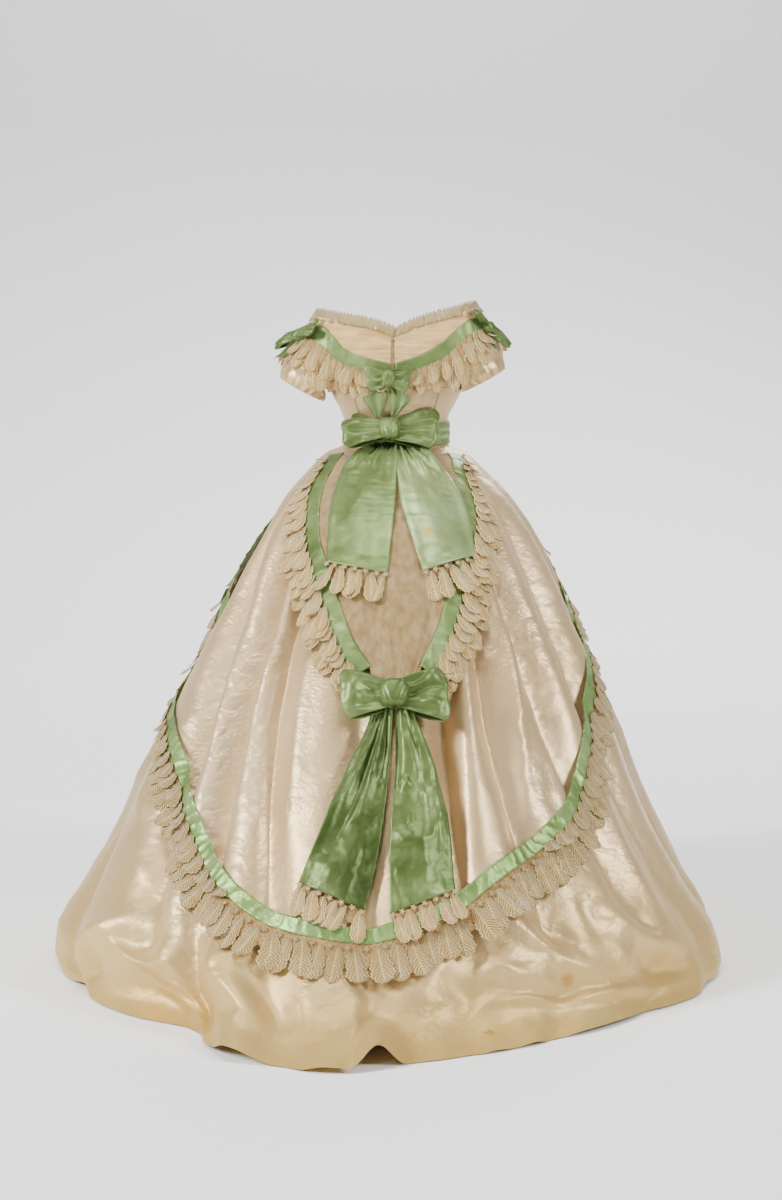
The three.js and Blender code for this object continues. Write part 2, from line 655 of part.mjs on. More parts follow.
// A ribbon loop leaves the knot underneath, turns at its end and comes back on top. Its angle
// is measured from the across direction, and its pleats die away towards its end. It is pressed
// together at the knot, and open from a share of its reach on.
const LOOP_TURN = [0, 0.2, 0.5, 0.8, 1];
const LOOP_ACROSS = [-1, 0, 1];
const LOOP_PLEAT = 2.5;
const LOOP_PRESSED = 0.3;
const LOOP_OPEN_FROM = 0.8;
const LOOP_WIDENING = 0.8;
function ribbonLoop(place, { angle, length, height, foot, puff, lift, flare = 0 }) {
  const along = [Math.cos(radians(angle)), Math.sin(radians(angle))];
  const points = LOOP_TURN.map((turn) => LOOP_ACROSS.map((share, c) => {
    const reach = Math.sin(Math.PI * turn);
    const open = lerp(LOOP_PRESSED, 1, ramp(reach, 0, LOOP_OPEN_FROM));
    const spread = share * lerp(foot, height, reach ** LOOP_WIDENING) / 2;
    const outEnd = length * reach * (1 + flare * share);
    const crease = LOOP_PLEAT * (c % 2 === 0 ? -1 : 1) * (1 - reach * reach);
    const z = lift + puff * (0.5 - 0.5 * Math.cos(Math.PI * turn) * open) + crease;
    const x = outEnd * along[0] - spread * along[1];
    const y = outEnd * along[1] + spread * along[0];
    return inPlace(place, x, y, z);
  }));
  return wall(sheet(points), -TRIM_WALL / 2, TRIM_WALL / 2);
}

// A knot is a rounded, pleated cushion of ribbon.
const KNOT_SEGMENTS = 8;
const KNOT_BANDS = 4;
const KNOT_SQUARENESS = 0.72;
const KNOT_END = 78;            // the latitude where a knot's flat ends begin
function knotSolid(place, { width, height, depth, lift }, clearance = 0) {
  const rings = steps(-KNOT_END, KNOT_END, KNOT_BANDS).map((latitude) => (
    steps(0, 360, KNOT_SEGMENTS).slice(0, -1).map((longitude) => {
      const round = (value) => Math.sign(value) * Math.abs(value) ** KNOT_SQUARENESS;
      const girth = round(Math.cos(radians(latitude)));
      return inPlace(
        place,
        (width / 2 + clearance) * girth * round(Math.cos(radians(longitude))),
        (height / 2 + clearance) * round(Math.sin(radians(latitude))),
        lift + depth / 2 + (depth / 2 + clearance) * girth * round(Math.sin(radians(longitude))),
      );
    })
  ));
  return closedForm(rings);
}

// A ribbon's end that hangs from a knot: a row for each level, with the ribbon's two edges
// across the bow's place, and how far it stands out.
const END_ACROSS = [0, 0.3, 0.6, 1];
function ribbonEnd(place, rows) {
  const points = rows.map(({ down, left, right, out, fold }) => (
    END_ACROSS.map((share, c) => (
      inPlace(place, lerp(left, right, share), -down, out + (c % 2 === 0 ? 0 : fold))
    ))
  ));
  return wall(sheet(points), -TRIM_WALL / 2, TRIM_WALL / 2);
}

// A wide ribbon's end that lies down the skirt: a row for each level, with its two edges as
// angles, how far it lies above the skirt, and how deep its folds are.
function tailPoints(rows, folds) {
  return rows.map(({ drop, dropRight = drop, left, right, out, fold }) => (
    steps(0, 1, folds * 2).map((share, c) => {
      const raised = out + (c % 2 === 0 ? 0 : fold);
      return aboveSkirt(lerp(left, right, share), lerp(drop, dropRight, share), raised);
    })
  ));
}

function skirtTail(rows, folds) {
  return wall(sheet(tailPoints(rows, folds), { facing: fromAxis }), 0, TRIM_WALL);
}

// ---------- The trimmings' routes and sizes ----------

const UPPER_RIBBON_WIDTH = 36;
const GARLAND_RIBBON_WIDTH = 31;
const ROUTE_LEFT_UPPER = [
  { angle: 56, drop: 34 },
  { angle: 51, drop: 83 },
  { angle: 43, drop: 138 },
  { angle: 36, drop: 191 },
  { angle: 28, drop: 244 },
  { angle: 21, drop: 305 },
  { angle: 15, drop: 368 },
  { angle: 8, drop: 420 },
];
const ROUTE_RIGHT_UPPER = [
  { angle: -56, drop: 34 },
  { angle: -43, drop: 81 },
  { angle: -37, drop: 136 },
  { angle: -31, drop: 190 },
  { angle: -24, drop: 243 },
  { angle: -20, drop: 296 },
  { angle: -15, drop: 359 },
  { angle: -10, drop: 420 },
];
// The garland rises round both hips to the waist in front, and dips at the centre back.
const ROUTE_GARLAND = [
  { angle: 122, drop: 96 },
  { angle: 104, drop: 220 },
  { angle: 88, drop: 380 },
  { angle: 76, drop: 509 },
  { angle: 61, drop: 604 },
  { angle: 44, drop: 711 },
  { angle: 31, drop: 799 },
  { angle: 16, drop: 857 },
  { angle: 2, drop: 874 },
  { angle: -12, drop: 843 },
  { angle: -24, drop: 793 },
  { angle: -38, drop: 725 },
  { angle: -51, drop: 629 },
  { angle: -66, drop: 496 },
  { angle: -81, drop: 335 },
  { angle: -98, drop: 200 },
  { angle: -116, drop: 96 },
];
const UPPER_LACE_REACHES = [
  { share: 0, reach: 34 },
  { share: 0.2, reach: 62 },
  { share: 0.5, reach: 82 },
  { share: 0.8, reach: 78 },
  { share: 1, reach: 60 },
];
const GARLAND_LACE_REACHES = [
  { share: 0, reach: 60 },
  { share: 0.3, reach: 78 },
  { share: 0.55, reach: 92 },
  { share: 0.75, reach: 84 },
  { share: 1, reach: 60 },
];

// Between the two upper ribbons the gathered tulle reaches from the belt to the skirt's bow.
const TULLE_COLUMNS = 5;

const STREAMERS = {
  left: [
    { drop: 24, left: 16, right: 1, out: 6, fold: 2 },
    { drop: 34, left: 19, right: 0.9, out: 9, fold: 4 },
    { drop: 70, left: 25, right: 0.7, out: 9, fold: 3 },
    { drop: 130, left: 26.4, right: 0.5, out: 8.5, fold: 2 },
    { drop: 190, left: 25, right: 0.6, out: 8, fold: 1 },
    { drop: 232, dropRight: 246, left: 24.5, right: 1.2, out: 7, fold: 0 },
  ],
  right: [
    { drop: 24, left: -0.3, right: -20, out: 6, fold: 2 },
    { drop: 34, left: -0.4, right: -25, out: 9, fold: 4 },
    { drop: 70, left: -0.8, right: -32, out: 9, fold: 3 },
    { drop: 130, left: -1.8, right: -31.5, out: 8.5, fold: 2 },
    { drop: 190, left: -4.8, right: -31, out: 8, fold: 1 },
    { drop: 242, dropRight: 218, left: -9.4, right: -30.5, out: 7, fold: 0 },
  ],
};
const BOW_TAILS = {
  left: [
    { drop: 482, left: 3.4, right: -0.8, out: 18, fold: 8 },
    { drop: 520, left: 5, right: -0.9, out: 15, fold: 10 },
    { drop: 600, left: 8.6, right: -1, out: 12, fold: 11 },
    { drop: 700, left: 12, right: -0.6, out: 9, fold: 9 },
    { drop: 792, dropRight: 834, left: 14.4, right: 1.3, out: 6, fold: 5 },
  ],
  right: [
    { drop: 482, left: -1.4, right: -6, out: 18, fold: 8 },
    { drop: 520, left: -1.7, right: -7.6, out: 15, fold: 10 },
    { drop: 600, left: -2.4, right: -11.6, out: 12, fold: 11 },
    { drop: 700, left: -2.2, right: -14.4, out: 9, fold: 9 },
    { drop: 841, dropRight: 803, left: -3.2, right: -15.2, out: 6, fold: 5 },
  ],
};
const STREAMER_FOLDS = 3;
const BOW_TAIL_FOLDS = 3;
const END_LACE_LEAVES = 4;
const END_LACE = {
  streamer: { layer: 4, reach: 66 },
  tail: { layer: 3, reach: 56 },
};

// The bows. A loop's angle is measured from the bow's across direction, its lift from the
// cloth; an end has a row for each level below the knot.
const BODICE_BOW = {
  name: 'bodice_bow',
  knot: { width: 27, height: 33, depth: 24, lift: 0 },
  loops: [
    { name: 'loop_left', angle: -2, length: 46, height: 50, foot: 22, puff: 13, lift: 11, flare: 0.1 },
    { name: 'loop_right', angle: 182, length: 44, height: 54, foot: 22, puff: 13, lift: 11, flare: -0.1 },
  ],
  ends: [
    {
      name: 'end_left',
      rows: [
        { down: 8, left: 12, right: 1, out: 5, fold: 1 },
        { down: 41, left: 53, right: 3, out: 4.5, fold: 2 },
        { down: 66, left: 38, right: 10, out: -1, fold: 2 },
        { down: 86, left: 24, right: 17, out: -7, fold: 1 },
      ],
    },
    {
      name: 'end_right',
      rows: [
        { down: 8, left: -1, right: -12, out: 5, fold: 1 },
        { down: 44, left: -1.5, right: -46, out: 4.5, fold: 2 },
        { down: 66, left: -4, right: -29, out: -1, fold: 2 },
        { down: 84, left: -6, right: -13, out: -7, fold: 1 },
      ],
    },
  ],
};
const BELT_BOW = {
  name: 'belt_bow',
  knot: { width: 44, height: 46, depth: 30, lift: 2 },
  loops: [
    { name: 'loop_left_upper', angle: 20, length: 84, height: 50, foot: 22, puff: 13, lift: 2 },
    { name: 'loop_left_lower', angle: -7, length: 97, height: 82, foot: 30, puff: 24, lift: 18 },
    { name: 'loop_right', angle: 178, length: 101, height: 94, foot: 36, puff: 30, lift: 6, flare: -0.08 },
  ],
  ends: [],
};
const SKIRT_BOW = {
  name: 'skirt_bow',
  knot: { width: 54, height: 54, depth: 36, lift: 2 },
  loops: [
    { name: 'loop_left', angle: 0, length: 104, height: 104, foot: 40, puff: 34, lift: 9, flare: 0.06 },
    { name: 'loop_right', angle: 181, length: 104, height: 112, foot: 40, puff: 36, lift: 9, flare: 0.06 },
  ],
  ends: [],
};
const SHOULDER_KNOT = { width: 24, height: 28, depth: 21, lift: 0 };
const SHOULDER_BOWS = [
  {
    name: 'shoulder_bow_left',
    angle: 62,
    height: 212,
    knot: SHOULDER_KNOT,
    loops: [
      { name: 'loop_back', angle: 140, length: 60, height: 40, foot: 18, puff: 12, lift: 10 },
      { name: 'loop_front', angle: -28, length: 60, height: 40, foot: 18, puff: 12, lift: 10 },
    ],
    ends: [
      {
        name: 'end',
        rows: [
          { down: 8, left: 4, right: -9, out: 4.5, fold: 1 },
          { down: 30, left: 2, right: -24, out: 5, fold: 1.5 },
          { down: 52, left: 6, right: -20, out: 6, fold: 1.5 },
        ],
      },
    ],
  },
  {
    name: 'shoulder_bow_right',
    angle: -60,
    height: 212,
    knot: SHOULDER_KNOT,
    loops: [
      { name: 'loop_back', angle: 48, length: 56, height: 38, foot: 18, puff: 12, lift: 10 },
      { name: 'loop_front', angle: 214, length: 60, height: 38, foot: 18, puff: 12, lift: 10 },
    ],
    ends: [
      {
        name: 'end',
        rows: [
          { down: 8, left: -6, right: 8, out: 4.5, fold: 1 },
          { down: 28, left: -12, right: 12, out: 5, fold: 1.5 },
          { down: 46, left: -14, right: 8, out: 6, fold: 1.5 },
        ],
      },
    ],
  },
];
const BELT_BOW_PLACE = { x: 14, height: 4, tilt: 36 };
const SKIRT_BOW_PLACE = { angle: -1, drop: 470 };
const BODICE_BOW_PLACE = { angle: 2.2, height: 125 };

// ---------- Materials ----------

const cloth = (colour, roughness) => new THREE.MeshStandardMaterial({
  color: colour,
  roughness,
  metalness: 0,
});
const satin = cloth(0xe3d2ba, 0.38);
const ribbonSilk = cloth(0x8cb47a, 0.42);
const lace = cloth(0xd9bd8e, 0.85);
const tulle = cloth(0xdcc6a2, 0.9);

// ---------- The gown ----------

const gown = new THREE.Group();
function sew(name, geometry, material) {
  const piece = new THREE.Mesh(geometry, material);
  piece.name = name;
  gown.add(piece);
}

const SIDES = [
  { side: 'left', sign: 1 },
  { side: 'right', sign: -1 },
];

// The skirt's gores.
GORES.forEach(({ name }, i) => sew(name, gore(i), satin));

// The bodice's five pieces.
BODICE_PIECES.forEach(({ name, from, to }) => sew(name, bodicePiece(from, to), satin));

// The sleeves, trimmed to the bodice at the armhole.
const bodiceBody = bodiceCore(2 * SEAM_GAP, SLEEVE_CORE_COLUMNS);
for (const { side, sign } of SIDES) {
  const sleeve = wall(sheet(sleeveRings(sign), { closed: true }), -WALL / 2, WALL / 2);
  sew(`sleeve_${side}`, trimmed(sleeve, bodiceBody), satin);
}

// The bertha: gathered tulle, its lace edging, the ribbon, and the frill under the ribbon.
const neckLine = (angle) => berthaLine(angle, 'neck');
const ribbonTop = (angle) => berthaLine(angle, 'ribbonTop');
const ribbonFoot = (angle) => berthaLine(angle, 'ribbonFoot');
const tulleFoot = (angle) => ribbonTop(angle) + STITCH_GAP;
const edgingTop = (angle) => neckLine(angle) + EDGING_HEIGHT;
const edgingFoot = (angle) => neckLine(angle) + STITCH_GAP;
const BERTHA_STRETCHES = [
  { name: 'left', from: BACK_SLIT, to: BERTHA_SPLIT },
  { name: 'right', from: -BERTHA_SPLIT, to: -BACK_SLIT },
  { name: 'front', from: BERTHA_SPLIT + SHOULDER_SEAM, to: 360 - SHOULDER_SEAM - BERTHA_SPLIT },
];
for (const stretch of BERTHA_STRETCHES) {
  sew(`bertha_tulle_${stretch.name}`, berthaBand(stretch, 2, tulleFoot, neckLine), tulle);
  sew(`bertha_ribbon_${stretch.name}`, berthaBand(stretch, 1, ribbonFoot, ribbonTop), ribbonSilk);
  sew(`bertha_frill_${stretch.name}`, berthaFrill(stretch), lace);
}
const wholeNeck = { from: BACK_SLIT, to: 360 - BACK_SLIT };
sew('neck_edging', berthaBand(wholeNeck, 1, edgingFoot, edgingTop), lace);

// The belt covers the seam between the bodice and the skirt.
const beltAngles = steps(0, 360, BELT.columns).slice(0, -1);
const beltRing = (height, out) => (
  beltAngles.map((angle) => bodicePoint(angle, height, BELT.ease + out))
);
const beltSheet = sheet(
  [beltRing(BELT.foot, 0), beltRing(BELT.top, 0)],
  { closed: true, facing: fromAxis },
);
sew('belt', wall(beltSheet, -TRIM_WALL, 0), ribbonSilk);

// The upper ribbons with their lace, and the tulle panel between them.
const UPPER_LEAVES = 12;
const upperRuns = [ROUTE_LEFT_UPPER, ROUTE_RIGHT_UPPER].map((route) => (
  skirtRun(route, UPPER_LEAVES * LEAF_POINTS)
));
SIDES.forEach(({ side, sign }, i) => {
  const run = upperRuns[i];
  const strip = ribbonStrip(atNotches(run), UPPER_RIBBON_WIDTH);
  const leaves = laceStrip(run, {
    start: UPPER_RIBBON_WIDTH / 2 + STITCH_GAP,
    side: sign,
    reaches: UPPER_LACE_REACHES,
  });
  sew(`upper_ribbon_${side}`, onSkirt(strip, HIGH_LAYER), ribbonSilk);
  sew(`upper_lace_${side}`, onSkirt(leaves, HIGH_LAYER, clearanceOf(strip, HIGH_LAYER)), lace);
});
const tulleEdge = UPPER_RIBBON_WIDTH / 2 + STITCH_GAP;
const [leftEdge, rightEdge] = upperRuns.map((run, i) => atNotches(run).map((place) => (
  placeBeside(place, -SIDES[i].sign * tulleEdge)
)));
const tullePoints = leftEdge.map((left, row) => steps(0, 1, TULLE_COLUMNS).map((share) => {
  const right = rightEdge[row];
  return skirtPoint(lerp(left.angle, right.angle, share), lerp(left.drop, right.drop, share));
}));
sew('tulle_panel', onSkirt(tullePoints, HIGH_LAYER), tulle);

const GARLAND_LEAVES = 38;
const garlandRun = skirtRun(ROUTE_GARLAND, GARLAND_LEAVES * LEAF_POINTS);
const garlandStrip = ribbonStrip(atNotches(garlandRun), GARLAND_RIBBON_WIDTH);
const garlandLeaves = laceStrip(garlandRun, {
  start: GARLAND_RIBBON_WIDTH / 2 + STITCH_GAP,
  reaches: GARLAND_LACE_REACHES,
});
sew('garland_ribbon', onSkirt(garlandStrip, LOW_LAYER), ribbonSilk);
sew('garland_lace', onSkirt(garlandLeaves, LOW_LAYER, clearanceOf(garlandStrip, LOW_LAYER)), lace);

// The belt bow's streamers and the skirt bow's tails, each with leaf lace along its foot.
function sewTails(name, tails, folds, { layer, reach }, place, { knot }) {
  const around = toSolid(knotSolid(place, knot, SEAM_GAP));
  for (const { side } of SIDES) {
    const tail = trimmed(skirtTail(tails[side], folds), around);
    const foot = tails[side].at(-1);
    const route = [
      { angle: foot.left, drop: foot.drop + STITCH_GAP },
      { angle: foot.right, drop: foot.dropRight + STITCH_GAP },
    ];
    const run = skirtRun(route, END_LACE_LEAVES * LEAF_POINTS);
    const reaches = [{ share: 0, reach }, { share: 1, reach }];
    sew(`${name}_${side}`, tail, ribbonSilk);
    sew(`${name}_lace_${side}`, onSkirt(laceStrip(run, { start: 0, reaches }), layer), lace);
  }
}

// A bow: the knot is trimmed to the ground it is sewn on, and its loops and ends to the knot.
function sewBow(place, { name, knot, loops, ends }, ground, tails = []) {
  const around = [toSolid(knotSolid(place, knot, SEAM_GAP)), ...ground, ...tails];
  sew(`${name}_knot`, trimmed(knotSolid(place, knot), ...ground), ribbonSilk);
  for (const loop of loops) {
    sew(`${name}_${loop.name}`, trimmed(ribbonLoop(place, loop), ...around), ribbonSilk);
  }
  for (const end of ends) {
    sew(`${name}_${end.name}`, trimmed(ribbonEnd(place, end.rows), ...around), ribbonSilk);
  }
}

// The space a tail takes up, larger all round, for the bow above it.
function tailClearance(rows, folds) {
  const longer = rows.map((row, i) => ({ ...row, drop: row.drop - (i === 0 ? 2 * SEAM_GAP : 0) }));
  return clearanceOf(tailPoints(longer, folds), -PANEL_CROWN, 3 * SEAM_GAP);
}

// The space inside the bertha's ribbon, for the bows that are sewn on it.
const CORE_COLUMN = 5;
function berthaCore(out) {
  const angles = steps(0, 360, 360 / CORE_COLUMN).slice(0, -1);
  return toSolid(closedForm(BERTHA_SECTIONS.map(({ height }) => (
    angles.map((angle) => berthaPoint(angle, height, out))
  ))));
}
const onBertha = [berthaCore(LOW_LAYER + TRIM_WALL + SEAM_GAP)];

function berthaPlace({ angle, height }) {
  const step = 1;
  const across = berthaPoint(angle + step, height).sub(berthaPoint(angle - step, height));
  const up = berthaPoint(angle, height + step).sub(berthaPoint(angle, height - step));
  return placeOn(berthaPoint(angle, height), up.cross(across));
}

const BOW_STEP = { degrees: 4, millimetres: 4 };
function skirtPlace({ angle, drop }) {
  const { across, down } = skirtSteps(angle, drop, BOW_STEP.degrees, BOW_STEP.millimetres);
  return placeOn(skirtPoint(angle, drop), across.cross(down));
}

sewBow(berthaPlace(BODICE_BOW_PLACE), BODICE_BOW, onBertha);
SHOULDER_BOWS.forEach((bow) => sewBow(berthaPlace(bow), bow, onBertha));

const beltTilt = radians(BELT_BOW_PLACE.tilt);
const beltPlace = placeOn(
  bodicePoint(0, BELT_BOW_PLACE.height, BELT.ease).setX(BELT_BOW_PLACE.x),
  new THREE.Vector3(0, Math.cos(beltTilt), Math.sin(beltTilt)),
);
const raised = (ring, rise) => ring.map((point) => point.clone().setZ(point.z + rise));
const beltFoot = beltRing(BELT.foot, SEAM_GAP);
const beltTop = beltRing(BELT.top, SEAM_GAP);
const beltBody = toSolid(closedForm([
  raised(beltFoot, -CORE_DEPTH),
  beltFoot,
  beltTop,
  raised(beltTop, CORE_DEPTH),
]));
const streamerBodies = SIDES.map(({ side }) => tailClearance(STREAMERS[side], STREAMER_FOLDS));
sewBow(beltPlace, BELT_BOW, [beltBody, bodiceBody, skirtBody], streamerBodies);
sewTails('streamer', STREAMERS, STREAMER_FOLDS, END_LACE.streamer, beltPlace, BELT_BOW);

const bowPlace = skirtPlace(SKIRT_BOW_PLACE);
const tailBodies = SIDES.map(({ side }) => tailClearance(BOW_TAILS[side], BOW_TAIL_FOLDS));
sewBow(bowPlace, SKIRT_BOW, [skirtBody], tailBodies);
sewTails('bow_tail', BOW_TAILS, BOW_TAIL_FOLDS, END_LACE.tail, bowPlace, SKIRT_BOW);

export default gown;
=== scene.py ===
"""A bride's evening gown of about 1865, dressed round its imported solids. Blender 4.5.

The forms repeat the solids' own sections in millimetres and turn into metres when a mesh is made.
An angle round the gown is in degrees from the centre back towards the wearer's left (+X), and a
drop is the distance below the waist.
"""
import math

import bpy
import numpy as np
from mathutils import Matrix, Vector


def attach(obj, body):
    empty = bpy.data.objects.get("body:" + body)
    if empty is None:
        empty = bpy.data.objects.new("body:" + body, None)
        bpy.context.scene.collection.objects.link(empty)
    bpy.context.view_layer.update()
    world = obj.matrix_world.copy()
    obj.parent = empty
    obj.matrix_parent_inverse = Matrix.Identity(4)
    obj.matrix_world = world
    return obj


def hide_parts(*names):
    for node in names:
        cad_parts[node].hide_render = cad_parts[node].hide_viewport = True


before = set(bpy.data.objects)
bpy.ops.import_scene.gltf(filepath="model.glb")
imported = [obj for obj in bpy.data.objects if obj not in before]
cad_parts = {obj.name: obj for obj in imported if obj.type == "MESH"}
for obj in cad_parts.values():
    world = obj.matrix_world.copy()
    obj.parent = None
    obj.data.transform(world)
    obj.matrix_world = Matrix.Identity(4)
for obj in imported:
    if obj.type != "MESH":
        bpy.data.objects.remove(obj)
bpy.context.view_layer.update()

MM = 0.001
FLOOR_DROP = 1060
SEAM_GAP = 0.2
NECK_TILT = 0.05
TRAIN_SWAY = 50
SATIN_WALL = 1.2
TRIM_WALL = 0.8
CREASE_SEED = 1865

# ---------- Tables ----------

# Rows of drop, half width, back, front, widest line and lean, as in the solids.
SKIRT_SECTIONS = np.array([
    (8, 112, 93, 94, 0, 0),
    (19, 112, 93, 94, 0, 0),
    (34, 147, 150, 113, 8, 0),
    (70, 187, 216, 135, 18, 0),
    (130, 244, 295, 161, 31, 0),
    (230, 310, 392, 199, 48, 0),
    (390, 388, 510, 255, 78, 4),
    (760, 553, 741, 373, 152, 20),
    (890, 624, 828, 413, 182, 22),
    (985, 676, 907, 441, 206, 22),
    (1040, 682, 985, 455, 220, 20),
    (1060, 672, 1065, 460, 225, 20),
], float)

# The skirt's folds: angle at the waist, half way down and at the hem, depth half way down and at
# the hem, the arch of the hem, and the reach of the flanks towards -angle and +angle, in
# millimetres. A short reach is a crisp edge, as a pressed pleat has.
VALLEYS = np.array([
    (-160, -158, -160, 16, 20, 4, 30, 30),
    (-128, -128, -133, 20, 26, 7, 36, 22),
    (-101, -103, -108, 34, 26, 6, 28, 39),
    (-80, -82, -88, 36, 10, 8, 39, 25),
    (-58, -63, -72, 28, 5, 4, 34, 41),
    (-37, -44, -56, 34, 5, 3, 46, 18),
    (-25, -26, -36, 31, 5, 3, 39, 15),
    (-13, -15, -19, 45, 6, 2, 15, 39),
    (10, 8, -3, 14, 18, 66, 46, 30),
    (40, 32.5, 12, 34, 9, 11, 44, 16),
    (48.5, 42.5, 27, 66, 12, 5, 11, 36),
    (76, 58.5, 41, 62, 12, 10, 26, 36),
    (86, 85, 70, 34, 14, 6, 34, 41),
    (101, 101, 96, 24, 26, 8, 34, 24),
    (128, 128, 128, 20, 26, 7, 24, 36),
    (160, 157, 158, 16, 20, 4, 30, 30),
], float)
# How far the hem lies inside the smooth outline on the floor, by angle.
HEM_PULL = np.array([
    (-180, 0), (-90, 0), (-72, -8), (-60, 30), (-50, 58), (-32, 66), (-20, 60), (-9, 44), (1, -8), (8, 0),
    (14, 14), (21, 28), (29, 62), (37, 116), (44, 110), (51, 84), (62, 46), (74, 16), (88, 0), (180, 0),
], float)
VALLEY_TOP = 40
VALLEY_MIDDLE = 500

# ---------- Numbers ----------


def smooth_curve(places, values):
    """A monotone cubic through a table's rows, flat past its ends."""
    x, y = np.asarray(places, float), np.asarray(values, float)
    step = np.diff(x)
    slope = np.diff(y) / step
    tangent = np.concatenate([[slope[0]], np.zeros(len(x) - 2), [slope[-1]]])
    for i in range(1, len(x) - 1):
        if slope[i - 1] * slope[i] > 0:
            tangent[i] = 2 * slope[i - 1] * slope[i] / (slope[i - 1] + slope[i])

    def at(place):
        place = np.clip(place, x[0], x[-1])
        i = np.clip(np.searchsorted(x, place, side="right") - 1, 0, len(x) - 2)
        t = (place - x[i]) / step[i]
        rise = y[i + 1] - y[i]
        a, b = tangent[i] * step[i], tangent[i + 1] * step[i]
        return y[i] + t * (a + t * (3 * rise - 2 * a - b + t * (a + b - 2 * rise)))

    return at


def curves(table):
    """Smooth curves of a table's other columns over its first."""
    return [smooth_curve(table[:, 0], column) for column in table[:, 1:].T]


def smoothstep(value, low, high):
    t = np.clip((value - low) / (high - low), 0, 1)
    return t * t * (3 - 2 * t)


def mix(a, b, share):
    return a + (b - a) * share


LATTICE = np.random.default_rng(CREASE_SEED).uniform(-1, 1, (48, 48, 48))
SEED_SHIFT = 17.37


def noise(points, size, seed):
    """Smooth noise from -1 to 1 at points in space; size is the grain, one number or three."""
    place = np.asarray(points, float) / np.asarray(size, float) + seed * SEED_SHIFT
    cell = np.floor(place).astype(int)
    inside = place - cell
    inside = inside * inside * (3 - 2 * inside)
    total = 0
    for corner in np.ndindex(2, 2, 2):
        weight = np.prod(np.where(corner, inside, 1 - inside), axis=-1)
        index = (cell + corner) % len(LATTICE)
        total = total + weight * LATTICE[index[..., 0], index[..., 1], index[..., 2]]
    return total


def unit(vectors):
    return vectors / np.maximum(np.linalg.norm(vectors, axis=-1, keepdims=True), 1e-9)


def wrapped(angle):
    """The same angle from -180 to 180 degrees."""
    return (angle + 180) % 360 - 180


def sine_cosine(angle):
    turn = np.radians(angle)
    return np.sin(turn), np.cos(turn)


def turned(x, y, angle):
    """Coordinates turned by an angle in degrees."""
    sine, cosine = sine_cosine(angle)
    return x * cosine - y * sine, x * sine + y * cosine


def stacked(*axes):
    """Points from their coordinates, each an array or a number."""
    return np.stack(np.broadcast_arrays(*axes), axis=-1)


def grid(rows, columns):
    return np.meshgrid(rows, columns, indexing="ij")


def way_along(points):
    """How far each point of a line is from its start."""
    return np.concatenate([[0], np.cumsum(np.linalg.norm(np.diff(points, axis=0), axis=1))])


# ---------- The skirt's surface ----------

SKIRT = curves(SKIRT_SECTIONS)


def skirt_point(angle, drop):
    angle, drop = np.broadcast_arrays(np.asarray(angle, float), np.asarray(drop, float))
    half_width, back, front, widest, lean = (curve(drop) for curve in SKIRT)
    sine, cosine = sine_cosine(angle)
    sway = TRAIN_SWAY * (drop / FLOOR_DROP) ** 3 * np.maximum(0, cosine) ** 2
    reach = np.where(cosine > 0, back - widest, front + widest)
    return np.stack([half_width * sine + sway + lean, widest + reach * cosine, -drop], axis=-1)


def skirt_frame(angle, drop):
    """The surface's steps for a degree and for a millimetre of drop, and its outward normal."""
    per_degree = skirt_point(angle + 0.5, drop) - skirt_point(angle - 0.5, drop)
    per_drop = (skirt_point(angle, drop + 3) - skirt_point(angle, drop - 3)) / 6
    return per_degree, per_drop, unit(np.cross(per_degree, per_drop))


def valley_angles(drop):
    """The folds' angles at each drop, in a last axis."""
    waist, middle, hem = VALLEYS[:, :3].T
    drop = np.asarray(drop, float)[..., None]
    high = np.clip((drop - VALLEY_TOP) / (VALLEY_MIDDLE - VALLEY_TOP), 0, 1)
    low = (drop - VALLEY_MIDDLE) / (FLOOR_DROP - VALLEY_MIDDLE)
    return np.where(drop < VALLEY_MIDDLE, mix(waist, middle, high), mix(middle, hem, low))


def valley_depths(drop):
    drop = np.asarray(drop, float)[..., None]
    low = smoothstep(drop, VALLEY_MIDDLE, FLOOR_DROP)
    return smoothstep(drop, 10, 330) * mix(VALLEYS[:, 3], VALLEYS[:, 4], low)


